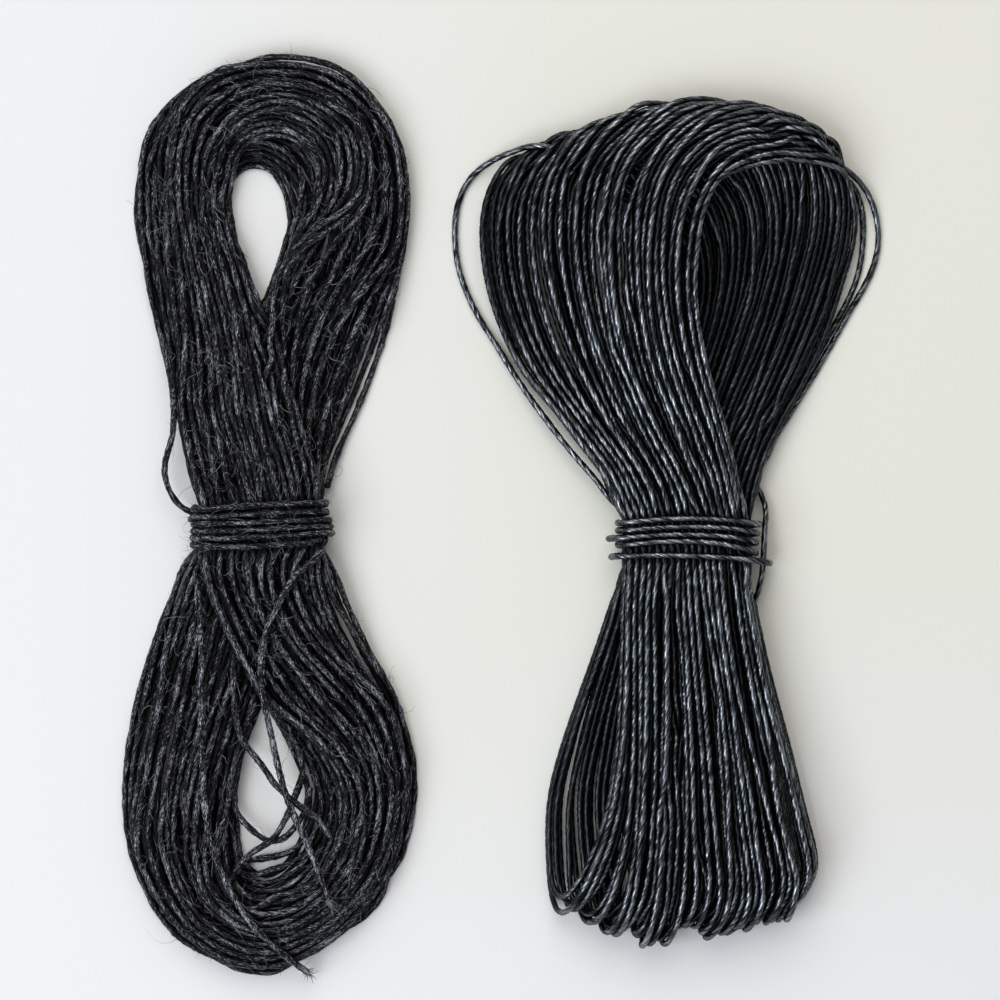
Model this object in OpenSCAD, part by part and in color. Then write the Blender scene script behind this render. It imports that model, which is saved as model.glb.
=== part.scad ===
// A pair of hand hanks of waxed thread for leather stitching: a matte linen hank wound as a
// figure of eight, and a glossy polyester hank folded over itself below its waist.
// Millimetres, +Z up, both hanks lying on the bench at z = 0.
// Each hank is one thread: the loops inside it are a plain core, its outer layer of loops is
// one unbroken tube, and so is its tie.

/* [Thread] */
// Diameter of the thread in both hanks
thread_d = 1; // [0.8:0.05:1.05]
// Gap between threads that lie on each other
lay_gap = 0.15; // [0.1:0.05:0.25]

/* [Pair] */
// Distance from the waist of one hank to the waist of the other
waist_distance = 64.8; // [63:0.2:75]

/* [Linen hank] */
// Distance between the outer ends of the two loops
linen_length = 137; // [128:1:146]
// Width over both limbs of a loop
linen_width = 43.8; // [42:0.2:45]
// Width of one limb beside its eye
linen_limb_w = 16; // [14:0.5:17]
// Width of the bundle where a loop turns back
linen_bend_w = 16.5; // [14:0.5:18]
// Width of the bundle under the tie
linen_waist_w = 18.6; // [17:0.2:20]
// Thickness of a limb beside its eye
linen_limb_t = 5.2; // [4.6:0.1:6]
// Loops in the outer layer
linen_loop_count = 12; // [8:1:12]
// Turns of the tie
linen_tie_turns = 6; // [3:1:8]

/* [Polyester hank] */
// Width of the front sheet where it is widest
poly_sheet_w = 31; // [28:0.5:32]
// Width of the folded end
poly_fold_w = 38; // [34:0.5:40]
// Width of the bundle under the tie
poly_waist_w = 19.6; // [19:0.2:21]
// Height of the folded end
poly_fold_h = 8.8; // [8.2:0.1:10]
// Thickness of each of its two halves
poly_fold_t = 3; // [2.8:0.1:3.2]
// Distance from the waist to the folded end
poly_reach = 57.3; // [54:0.1:60]
// Loops in the outer layer
poly_loop_count = 12; // [6:1:12]
// Turns of the tie
poly_tie_turns = 5; // [3:1:7]

/* [Waist] */
// Thickness of one limb under a tie
waist_t = 3; // [2.9:0.1:3.3]
// Room in a tie beside the limbs, which cross inside it
tie_ease = 1.6; // [1.4:0.1:2]
// Distance from turn to turn of a tie
tie_pitch = 1.45; // [1.42:0.01:1.6]
// Rise in the middle of a limb's upper side
crown = 0.3; // [0:0.1:0.5]

/* [Hidden] */

LINEN_COLOUR = [0.075, 0.078, 0.088];
POLY_COLOUR = [0.035, 0.037, 0.042];

thread_r = thread_d / 2;
// From the outer side of a bundle down to its core: one thread and the gap under it
layer = thread_d + lay_gap;
// Sides of a wound tube and of a loose stretch
wound_sides = 6;
loose_sides = 8;
// Rings along one loop of a hank, and along one turn of a tie
loop_rings = 24;
corner_rings = 2;
// How far round a bundle's side its outermost thread lies, from the top
side_reach = 110;

// Place of each hank's waist on the bench
linen_waist = [-36.6, -0.8];
poly_waist = [linen_waist.x + waist_distance, -4.2];

// Heights of the two limbs that cross at a waist: the tie passes below the lower one
waist_low = thread_d + lay_gap;
waist_high = waist_low + waist_t + crown + lay_gap;
tie_h = waist_high + waist_t + crown - waist_low;

/* ---- general functions ---- */

function clamp01(v) = min(1, max(0, v));
function smooth(v) = let(c = clamp01(v)) c * c * (3 - 2 * c);
function mix(a, b, t) = a + (b - a) * t;
function unit(v) = v / norm(v);

// The frame is carried from ring to ring without twist
function carried(side, dir) = unit(side - dir * (side * dir));
function dir_at(path, i) = unit(path[min(i + 1, len(path) - 1)] - path[max(i - 1, 0)]);
function first_side(dir) = carried(abs(dir.z) < 0.9 ? [0, 0, 1] : [1, 0, 0], dir);
function sides_along(path) = [
    for (i = 0, s = first_side(dir_at(path, 0)); i < len(path);
         i = i + 1, s = i < len(path) ? carried(s, dir_at(path, i)) : s) s
];

// Rings of a tube along a path, in one list
function tube_points(path, r, sides) = let(ahead = sides_along(path)) [
    for (i = [0:len(path) - 1], k = [0:sides - 1])
        let(a = 360 * k / sides, across = cross(dir_at(path, i), ahead[i]))
            path[i] + r * (cos(a) * ahead[i] + sin(a) * across)
];

// Triangles that join ring after ring and close both ends
function skin_faces(rings, sides) = [
    for (i = [0:rings - 2], k = [0:sides - 1])
        let(a = i * sides + k, b = i * sides + (k + 1) % sides)
            each [[a, b + sides, b], [a, a + sides, b + sides]],
    for (k = [1:sides - 2])
        each [[0, k, k + 1], [for (v = [0, k + 1, k]) v + (rings - 1) * sides]]
];

// The same for a band that closes on itself
function loop_faces(rings, sides) = [
    for (i = [0:rings - 1], k = [0:sides - 1])
        let(j = (i + 1) % rings, n = (k + 1) % sides)
            each [[i * sides + k, j * sides + n, i * sides + n],
                  [i * sides + k, j * sides + k, j * sides + n]]
];

module tube(path, sides) {
    polyhedron(tube_points(path, thread_r, sides), skin_faces(len(path), sides));
}

module loose_stretch(waist, route) {
    translate(waist) tube(route, loose_sides);
}

// One more ring, a thread's diameter straight on past each end
function with_straight_ends(path) = let(n = len(path)) concat(
    [path[0] + thread_d * unit(path[0] - path[1])], path,
    [path[n - 1] + thread_d * unit(path[n - 1] - path[n - 2])]
);

// Least distance between the surfaces of stretches that are at least skip rings apart
function least_gap(path, skip) = min([
    for (i = [0:len(path) - 1 - skip], j = [i + skip:len(path) - 1])
        norm(path[i] - path[j])
]) - thread_d;

/* ---- the bundle: a flat band with round sides ---- */
// A station is [x, y, underside height, half width, thickness, tilt, end bow, lateral angle].

function lateral(st) = [cos(st[7]) * cos(st[5]), sin(st[7]) * cos(st[5]), sin(st[5])];
function upward(st) = [-cos(st[7]) * sin(st[5]), -sin(st[7]) * sin(st[5]), cos(st[5])];

// A point of a station's section: lat to the side, up from the underside
function section_point(st, lat, up) =
    [st.x, st.y, st.z] + lat * lateral(st) + up * upward(st)
    + [0, st[6] * pow(lat / st[3], 2), 0];

function crown_at(st, lat) = crown * max(0, 1 - pow(lat / st[3], 2));

// Half the length of the thread layer's line across the band, over the top and round the sides
function side_r(st) = st[4] / 2 - thread_r;
function flat_half(st) = st[3] - thread_r - side_r(st);
function layer_half(st) = flat_half(st) + side_r(st) * side_reach * PI / 180;

// Thread centre at p along that line, from -1 at one side to 1 at the other
function layer_point(st, p) =
    let(s = abs(p) * layer_half(st), r = side_r(st), f = flat_half(st))
    let(a = s > f ? (s - f) / r * 180 / PI : 0)
    let(lat = sign(p) * (s > f ? f + r * sin(a) : s))
    section_point(st, lat, st[4] / 2 + r * cos(a) + crown_at(st, lat));

// Outline of the core: flat below, and under the thread layer above
core_steps = 6;
function core_ring(st) =
    let(top = st[4] - layer, half = st[3] - layer, r = min(top, half) * 0.6)
    concat(
        [section_point(st, half * 0.92, 0), section_point(st, half, top - r)],
        [for (k = [1:core_steps - 1])
            let(lat = (half - r * 0.3) * cos(180 * k / core_steps))
                section_point(st, lat, top + crown_at(st, lat)
                    - r * pow(abs(lat) / half, 6))],
        [section_point(st, -half, top - r), section_point(st, -half * 0.92, 0)]
    );
core_sides = core_steps + 3;

/* ---- linen hank: a figure of eight ---- */

// Turn angle of ring i: rings lie closer together where the loops turn back
function linen_turn(i) = let(a = 360 * i / loop_rings) a - 8.6 * sin(2 * a);

linen_swing = linen_width / 2 - linen_limb_w / 2 + 0.6;
linen_reach = (linen_length - linen_bend_w) / 2;
// The limbs draw together towards the waist by this share of their swing
linen_draw = 0.35;
// Over these distances from the waist the front limb climbs onto the back one
climb_from = 58;
climb_to = 18;
// and the back limb lifts off the bench to let the tie through
tie_lift_from = 30;
tie_lift_to = 18;
// and both grow thinner
thin_from = 46;
thin_to = 16;
climb_tilt = 8;

function linen_xy(a) = [
    linen_waist.x - linen_swing * sin(2 * a) * (1 - linen_draw * pow(sin(a), 4)),
    linen_waist.y + linen_reach * cos(a)
];

function linen_station(i) =
    let(a = linen_turn(i), at = linen_xy(a), front = sin(a) > 0)
    let(off = abs(at.y - linen_waist.y), along = linen_xy(a + 1) - linen_xy(a - 1))
    let(half = linen_limb_w + (linen_bend_w - linen_limb_w) * pow(cos(a), 8)
        + (linen_waist_w - linen_limb_w) * pow(sin(a), 6))
    let(climb = smooth((climb_from - off) / (climb_from - climb_to)))
    let(lift = smooth((tie_lift_from - off) / (tie_lift_from - tie_lift_to)))
    let(thin = smooth((thin_from - off) / (thin_from - thin_to)))
    let(tilt = front ? climb_tilt * 4 * climb * (1 - climb) : 0)
    [
        at.x, at.y, (front ? waist_high * climb : waist_low * lift) + half / 2 * sin(tilt),
        half / 2, mix(linen_limb_t, waist_t, thin), sign(cos(a)) * tilt, 0,
        atan2(along.x, -along.y)
    ];

linen_stations = [for (i = [0:loop_rings - 1]) linen_station(i)];

// The winding starts and ends under the tie, on the front limb
linen_first = loop_rings / 4;
linen_wound = [
    for (g = [0:linen_loop_count * loop_rings])
        layer_point(linen_stations[(g + linen_first) % loop_rings],
            2 * g / (linen_loop_count * loop_rings) - 1)
];

/* ---- polyester hank: up the back, over the arch, down the front, folded below ---- */

// x and y from the waist, underside height, half width, thickness, tilt, end bow
fold_bow = 6;
// The front sheet rises this much over the folded end
fold_rise = 0.5;
poly_rows = [
    [-0.7, -poly_reach, 0, poly_fold_w / 2, poly_fold_t, 0, fold_bow],
    [-1.2, -35.8, 0, poly_fold_w / 2 - 2, poly_fold_t, 0, 0],
    [-0.6, -13.8, waist_low, poly_waist_w / 2 + 1.5, waist_t, 0, 0],
    [0, 0, waist_low, poly_waist_w / 2, waist_t, 0, 0],
    [2, 11.2, waist_low, 9.8, waist_t, 0, 0],
    [8.3, 27.2, 0, 9.8, 3.6, 0, 0],
    [13.8, 40.2, 0, 10.4, 4.2, 0, 0],
    [15.8, 51.2, 1.4, 9.6, 4.8, 7, 0],
    [11, 58.8, 2.8, 9, 4.8, 14, 0],
    [1.3, 60.4, 3.4, 8.8, 4.8, 16, 0],
    [-8.4, 57.2, 3.8, 9.6, 4.2, 14, 0],
    [-13.6, 48.7, 4.2, poly_sheet_w / 2 - 2, 3.3, 11, 0],
    [-13.4, 36.2, 4.4, poly_sheet_w / 2, 3, 9, 0],
    [-8.6, 21.2, waist_high + 0.3, poly_sheet_w / 2 - 2, 3, 5, 0],
    [-2.4, 9.2, waist_high + 0.1, 10.8, waist_t, 0, 0],
    [0, 0, waist_high, poly_waist_w / 2, waist_t, 0, 0],
    [-0.6, -13.8, waist_high + 0.2, poly_waist_w / 2 + 1.5, waist_t, 0, 0],
    [-1.2, -35.8, poly_fold_h - poly_fold_t - fold_rise, poly_fold_w / 2 - 2, poly_fold_t, 0, 0],
    [-0.7, -poly_reach, poly_fold_h - poly_fold_t, poly_fold_w / 2, poly_fold_t, 0, fold_bow]
];
poly_last = len(poly_rows) - 1;
poly_waist_back = 3;
poly_waist_front = 15;

function poly_station(i) =
    let(a = poly_rows[max(i - 1, 0)], at = poly_rows[i], b = poly_rows[min(i + 1, poly_last)])
    [
        poly_waist.x + at.x, poly_waist.y + at.y, at.z, at[3], at[4], at[5], at[6],
        atan2(b.x - a.x, a.y - b.y)
    ];

poly_stations = [for (i = [0:poly_last]) poly_station(i)];

// Rings round the fold, between the front sheet's end and the back sheet's
fold_rings = loop_rings - len(poly_rows);

// Each loop lies a step further in than the last on its side. The fold brings a thread back
// on the other side of the band, so the sides alternate.
function poly_p(g) = (floor(g / loop_rings) % 2 == 0 ? 1 : -1)
    * (1 - g / loop_rings / (poly_loop_count + 1));
function poly_lay(g) = layer_point(poly_stations[g % loop_rings], poly_p(g));
function poly_fold_point(g) =
    let(start = floor(g / loop_rings) * loop_rings)
    let(a = poly_lay(start + poly_last), b = poly_lay(start + loop_rings))
    let(turn = 180 * (g - start - poly_last) / (fold_rings + 1), mid = (a + b) / 2)
    mid + (a - b) / 2 * cos(turn) - [0, (a.z - b.z) / 2 * sin(turn), 0];

poly_wound = [
    for (g = [poly_waist_back:(poly_loop_count - 1) * loop_rings + poly_waist_front])
        g % loop_rings <= poly_last ? poly_lay(g) : poly_fold_point(g)
];

/* ---- ties: turns round a waist ---- */

function tie_point(waist, half_w, turns, g) =
    let(per_turn = 4 * (corner_rings + 1), corner = floor(g / (corner_rings + 1)) % 4)
    let(step = g % (corner_rings + 1), turn = g / per_turn)
    let(r = waist_t / 2 + thread_r + lay_gap, half_h = tie_h / 2 + thread_r + lay_gap)
    let(a = 90 * corner + 90 * step / corner_rings)
    let(sx = corner == 0 || corner == 3 ? 1 : -1, sz = corner < 2 ? 1 : -1)
    [
        waist.x + sx * (half_w + tie_ease + thread_r + lay_gap - r) + r * cos(a),
        waist.y + tie_pitch * (turn - turns / 2),
        waist_low + tie_h / 2 + sz * (half_h - r) + r * sin(a)
    ];

function tie_path(waist, half_w, turns) = [
    for (g = [0:turns * 4 * (corner_rings + 1)]) tie_point(waist, half_w, turns, g)
];

linen_tie_path = tie_path(linen_waist, linen_waist_w / 2, linen_tie_turns);
poly_tie_path = tie_path(poly_waist, poly_waist_w / 2, poly_tie_turns);

/* ---- loose stretches: centre lines, with x and y from their hank's waist ---- */

linen_tie_tail_route = [
    [8, -6.1, 8.5], [5.6, -8.7, 8.7], [3.1, -12.2, 8.7], [1.1, -16.7, 8.7], [0.3, -21.2, 8.6],
    [0.5, -26.2, 8.5], [1.7, -32.2, 8.3], [3.4, -39.7, 8], [5.4, -45.2, 7.7], [8.1, -51.2, 7.2],
    [10.5, -57.2, 6.8]
];
linen_start_tail_route = [
    [-9.8, -7.8, 5.1], [-9.3, -12.2, 5.1], [-8.9, -17.2, 5], [-8.8, -24.2, 5.3],
    [-8.8, -31.7, 5.6], [-8.6, -36.7, 5.8], [-8.4, -41.7, 6.1], [-7.8, -46.2, 6.2],
    [-6.8, -50.7, 6.2], [-4.4, -56.2, 6.4], [-1.1, -61.2, 6.4], [2.8, -65.2, 6], [5.6, -67.5, 5],
    [6.9, -68.6, 3.8]
];
linen_crest_route = [
    [-1, 69.5, 2.6], [3.1, 70.1, 2.9], [7.6, 69.7, 3], [11.6, 68, 3], [15.4, 65.2, 3],
    [18.8, 61, 2.9], [21.4, 55.3, 2.7], [22.7, 49.3, 2.5]
];
linen_side_loop_route = [
    [-13.7, 11.8, 4.8], [-14.6, 9.3, 4.2], [-14.5, 7, 3.8], [-13.6, 5.6, 3.6], [-12, 5.3, 3.6]
];
linen_eye_upper_route = [
    [-5.8, -30, 5.5], [-2.7, -34.4, 5.2], [0, -38.2, 5.2], [2.2, -40.1, 5.6], [3.9, -41.3, 6.2]
];
linen_eye_left_route = [
    [-6.2, -42.5, 5.9], [-3.7, -44.8, 5.3], [-1.6, -47, 5.3], [-0.4, -49.6, 6], [0, -52.2, 6.5]
];
linen_eye_right_route = [
    [4.3, -37.7, 4.8], [4.5, -41.7, 4.4], [3.7, -45.2, 4.8], [2.4, -48.2, 5.8], [1.8, -51.2, 6.5]
];

poly_left_route = [
    [-20.6, 59.8, 4.4], [-23.8, 60, 3.8], [-27, 59.4, 2.8], [-30, 58, 1.6], [-32.6, 56, 0.8],
    [-34.5, 52.8, 0.5], [-35.3, 48.2, 0.5], [-34.8, 42.2, 0.5], [-32.6, 36.2, 0.5],
    [-29, 30.2, 0.7], [-25.6, 24.7, 1.6], [-23, 20.7, 2.8]
];
poly_right_route = [
    [23.4, 57.2, 2.6], [26.2, 55.2, 1.8], [28.2, 52.2, 1], [29.3, 47.6, 0.5], [28.8, 43, 0.5],
    [27, 38.8, 0.5], [24.4, 34.6, 0.5], [21.8, 30.4, 0.5], [19.6, 26.4, 0.5]
];
poly_inner_route = [
    [25.2, 54.8, 0.6], [26.7, 51.2, 0.5], [27, 47.2, 0.5], [26.6, 42.8, 0.5], [25.6, 39.2, 0.5]
];
poly_lock_route = [
    [12.2, 8, 4], [13.2, 4.6, 4.2], [13.7, 1.2, 4.3], [13.7, -2.8, 4.2], [13.2, -6.3, 3.8],
    [12, -8.8, 3.2]
];

echo(linen_outer_least_gap = least_gap(linen_wound, 8));
echo(linen_tie_least_gap = least_gap(linen_tie_path, 8));
echo(poly_outer_least_gap = least_gap(poly_wound, 8));
echo(poly_tie_least_gap = least_gap(poly_tie_path, 8));

/* ---- pieces ---- */

module linen_inner_loops() {
    color(LINEN_COLOUR) polyhedron(
        [for (st = linen_stations) each core_ring(st)], loop_faces(loop_rings, core_sides));
}

module linen_outer_loops() {
    color(LINEN_COLOUR) tube(with_straight_ends(linen_wound), wound_sides);
}

module linen_tie() {
    color(LINEN_COLOUR) tube(with_straight_ends(linen_tie_path), wound_sides);
}

module linen_tie_tail() {
    color(LINEN_COLOUR) loose_stretch(linen_waist, linen_tie_tail_route);
}

module linen_start_tail() {
    color(LINEN_COLOUR) loose_stretch(linen_waist, linen_start_tail_route);
}

module linen_crest_strand() {
    color(LINEN_COLOUR) loose_stretch(linen_waist, linen_crest_route);
}

module linen_side_loop() {
    color(LINEN_COLOUR) loose_stretch(linen_waist, linen_side_loop_route);
}

module linen_eye_strand_upper() {
    color(LINEN_COLOUR) loose_stretch(linen_waist, linen_eye_upper_route);
}

module linen_eye_strand_left() {
    color(LINEN_COLOUR) loose_stretch(linen_waist, linen_eye_left_route);
}

module linen_eye_strand_right() {
    color(LINEN_COLOUR) loose_stretch(linen_waist, linen_eye_right_route);
}

module poly_inner_loops() {
    color(POLY_COLOUR) polyhedron(
        [for (st = poly_stations) each core_ring(st)], skin_faces(len(poly_stations), core_sides));
}

module poly_outer_loops() {
    color(POLY_COLOUR) tube(with_straight_ends(poly_wound), wound_sides);
}

module poly_tie() {
    color(POLY_COLOUR) tube(with_straight_ends(poly_tie_path), wound_sides);
}

module poly_tie_lock() {
    color(POLY_COLOUR) loose_stretch(poly_waist, poly_lock_route);
}

module poly_stray_loop_left() {
    color(POLY_COLOUR) loose_stretch(poly_waist, poly_left_route);
}

module poly_stray_loop_right() {
    color(POLY_COLOUR) loose_stretch(poly_waist, poly_right_route);
}

module poly_stray_loop_inner() {
    color(POLY_COLOUR) loose_stretch(poly_waist, poly_inner_route);
}

linen_inner_loops();
linen_outer_loops();
linen_tie();
linen_tie_tail();
linen_start_tail();
linen_crest_strand();
linen_side_loop();
linen_eye_strand_upper();
linen_eye_strand_left();
linen_eye_strand_right();
poly_inner_loops();
poly_outer_loops();
poly_tie();
poly_tie_lock();
poly_stray_loop_left();
poly_stray_loop_right();
poly_stray_loop_inner();
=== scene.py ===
"""Two hand hanks of waxed thread on a pale bench.

The linen hank is matte and hairy and wound as a figure of eight. The polyester hank is a
glossy three-ply thread: its loops go up the back, roll over the top, come down the front as
a sheet and fold under at the lower end. Each hank is one thread. Its loops are laid out by
formula, then pushed apart until no two stretches of thread share the same space, so that
they rest on each other as real loops do.

Lengths inside this file are millimetres, and meshes are made in metres.
"""

import logging
import math
from abc import ABC, abstractmethod
from dataclasses import dataclass, replace
from enum import Enum
from typing import Callable, Sequence

import bpy
import numpy as np
from mathutils import Matrix

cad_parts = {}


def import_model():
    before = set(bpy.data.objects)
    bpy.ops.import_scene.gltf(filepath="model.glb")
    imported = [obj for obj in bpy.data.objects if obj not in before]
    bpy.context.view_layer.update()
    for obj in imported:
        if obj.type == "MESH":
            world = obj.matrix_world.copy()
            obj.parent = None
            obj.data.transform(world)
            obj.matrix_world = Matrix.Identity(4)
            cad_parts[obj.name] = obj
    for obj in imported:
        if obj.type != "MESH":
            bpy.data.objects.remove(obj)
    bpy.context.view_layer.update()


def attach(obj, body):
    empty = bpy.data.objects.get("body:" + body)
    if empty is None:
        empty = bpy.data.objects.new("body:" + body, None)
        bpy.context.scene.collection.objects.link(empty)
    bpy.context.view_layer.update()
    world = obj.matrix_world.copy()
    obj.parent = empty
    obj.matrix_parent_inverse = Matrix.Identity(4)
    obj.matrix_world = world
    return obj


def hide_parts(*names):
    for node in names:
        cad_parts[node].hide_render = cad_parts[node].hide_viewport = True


LOG = logging.getLogger("hanks")
MM = 0.001
THREAD_D = 1.0
POINT_STEP = 1.0  # from point to point of a settled centre line
TURN_POINTS = 72  # worked out for each turn of a tie, before they are spaced evenly
Array = np.ndarray


class Body(str, Enum):
    """The bodies that the pieces ride on."""

    LINEN = "linen_hank"
    POLYESTER = "poly_hank"


# ---- arrays: curves, noise and frames ----


def unit(vectors: Array) -> Array:
    """Vectors divided by their own length, and left alone where that is nil."""
    size = np.linalg.norm(vectors, axis=-1, keepdims=True)
    return vectors / np.maximum(size, 1e-12)


def smooth(values: Array) -> Array:
    """Smooth step: 3v^2 - 2v^3 of v held between 0 and 1."""
    v = np.clip(values, 0.0, 1.0)
    return v * v * (3.0 - 2.0 * v)


def bell(values: Array, middle: float, spread: float) -> Array:
    """A bell curve over the values, 1 at its middle: exp(-((v - m) / s)^2)."""
    return np.exp(-(((values - middle) / spread) ** 2))


def catmull_weights(f: Array) -> Array:
    """Weights of the four points round a place that lies f of the way between the middle two."""
    f2, f3 = f * f, f * f * f
    return 0.5 * np.stack(
        [-f + 2 * f2 - f3, 2 - 5 * f2 + 3 * f3, f + 4 * f2 - 3 * f3, f3 - f2], axis=-1
    )


def spline(points: Array, per_span: int = 12) -> Array:
    """A Catmull-Rom curve through the points, with its first and last one repeated.

    Args:
        points: the points that the curve passes, one a row.
        per_span: how many samples go between two of them.

    Returns:
        The curve's points, one a row.
    """
    padded = np.vstack([2 * points[0] - points[1], points, 2 * points[-1] - points[-2]])
    t = np.linspace(0, len(points) - 1, (len(points) - 1) * per_span + 1)
    i = np.minimum(t.astype(int), len(points) - 2)
    weights = catmull_weights(t - i)
    return sum(weights[:, k, None] * padded[i + k] for k in range(4))


def evenly(path: Array, step: float) -> Array:
    """The path sampled again at equal steps of its own length, both ends kept.

    Args:
        path: points of a line, one a row.
        step: about how far apart the samples are.

    Returns:
        The samples, one a row.
    """
    run = np.concatenate([[0], np.cumsum(np.linalg.norm(np.diff(path, axis=0), axis=1))])
    at = np.linspace(0, run[-1], max(2, int(round(run[-1] / step)) + 1))
    return np.stack([np.interp(at, run, path[:, k]) for k in range(3)], axis=1)


def finer(path: Array, step: float) -> Array:
    """The path as a smooth curve through its points, sampled again at equal steps."""
    return evenly(spline(path, 4), step)


def path_length(path: Array) -> float:
    """Length of the line through the points."""
    return float(np.linalg.norm(np.diff(path, axis=0), axis=1).sum())


def wander(at: Array, reach: float, rng: np.random.Generator) -> Array:
    """Slow random values: a random number every reach along, joined by Catmull-Rom curves.

    Args:
        at: places along a line, none below 0.
        reach: distance between two random numbers.
        rng: source of the random draws.

    Returns:
        A value for each place.
    """
    place = at / reach
    knots = rng.normal(size=int(place.max()) + 5)
    i = place.astype(int)
    weights = catmull_weights(place - i)
    return sum(weights[:, k] * knots[i + k] for k in range(4))


def turn_product(a: Array, b: Array) -> Array:
    """Hamilton product a * b of quaternions in rows (w, x, y, z).

    Args:
        a, b: the quaternions, one a row.

    Returns:
        Their products, one a row.
    """
    w = a[:, 0] * b[:, 0] - (a[:, 1:] * b[:, 1:]).sum(axis=1)
    v = a[:, :1] * b[:, 1:] + b[:, :1] * a[:, 1:] + np.cross(a[:, 1:], b[:, 1:])
    return np.column_stack([w, v])


def turned(turns: Array, vector: Array) -> Array:
    """The vector turned by each quaternion: v + 2w(q x v) + 2q x (q x v).

    Args:
        turns: unit quaternions, one a row.
        vector: one vector for all, or a row for each.

    Returns:
        The turned vectors, one a row.
    """
    v = np.broadcast_to(vector, (len(turns), 3))
    once = np.cross(turns[:, 1:], v)
    return v + 2 * (turns[:, :1] * once + np.cross(turns[:, 1:], once))


def carried_frames(path: Array) -> tuple[Array, Array, Array]:
    """Directions along, to the side of and above each point, carried along without twist.

    The shortest turn from each direction to the next is a quaternion. Their running product
    is found by doubling strides, and turns the first frame into all the others.

    Args:
        path: points of a line, one a row.

    Returns:
        Three arrays of unit vectors, with a row for each point.
    """
    along = unit(np.gradient(path, axis=0))
    half = unit(np.column_stack([
        1 + (along[:-1] * along[1:]).sum(axis=1), np.cross(along[:-1], along[1:])
    ]))
    turns = np.vstack([[1.0, 0, 0, 0], half])
    stride = 1
    while stride < len(turns):
        turns[stride:] = turn_product(turns[stride:], turns[:-stride])
        stride *= 2
    turns = unit(turns)
    across = np.cross([0, 0, 1.0], along[0])
    if np.linalg.norm(across) < 0.1:
        across = np.array([1.0, 0, 0])
    side = turned(turns, unit(across))
    side = unit(side - along * (side * along).sum(axis=1, keepdims=True))
    return along, side, np.cross(along, side)


# ---- how threads come to rest on each other ----


@dataclass
class Run:
    """One stretch of thread: its centre line, how hard it keeps its place, and its weight."""

    name: str
    path: Array
    hold: float = 0.03
    hold_height: float = 0.03
    weight: float = 0.0


def half_neighbours() -> list[tuple[int, int, int]]:
    """The cell itself and the 13 of its 26 neighbours that cover each pair of cells once."""
    cells = [(x, y, z) for x in (-1, 0, 1) for y in (-1, 0, 1) for z in (-1, 0, 1)]
    return [cell for cell in cells if cell >= (0, 0, 0)]


def near_pairs(points: Array, reach: float, skip: int) -> tuple[Array, Array]:
    """Pairs of points closer than reach, at least skip places apart in the list.

    Points are sorted by the cell of a grid that holds them, and each point is matched with
    the points of 14 cells, so that every pair turns up once.

    Args:
        points: the points, one a row.
        reach: distance below which two make a pair.
        skip: least number of places between them in the list.

    Returns:
        The place in the list of each pair's first point, and of its second.
    """
    cell = np.floor(points / reach).astype(np.int64)
    cell -= cell.min(axis=0) - 2
    span = cell.max(axis=0) + 3
    key = (cell[:, 0] * span[1] + cell[:, 1]) * span[2] + cell[:, 2]
    order = np.argsort(key, kind="stable")
    in_order = key[order]
    first, second = [], []
    for x, y, z in half_neighbours():
        wanted = key + (x * span[1] + y) * span[2] + z
        low = np.searchsorted(in_order, wanted, "left")
        count = np.searchsorted(in_order, wanted, "right") - low
        i = np.repeat(np.arange(len(points)), count)
        start = np.repeat(low - np.concatenate([[0], np.cumsum(count)[:-1]]), count)
        j = order[start + np.arange(len(i))]
        keep = (np.abs(i - j) >= skip) & ((i < j) | ((x, y, z) != (0, 0, 0)))
        first.append(i[keep])
        second.append(j[keep])
    i, j = np.concatenate(first), np.concatenate(second)
    close = np.linalg.norm(points[i] - points[j], axis=1) < reach
    return i[close], j[close]


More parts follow.
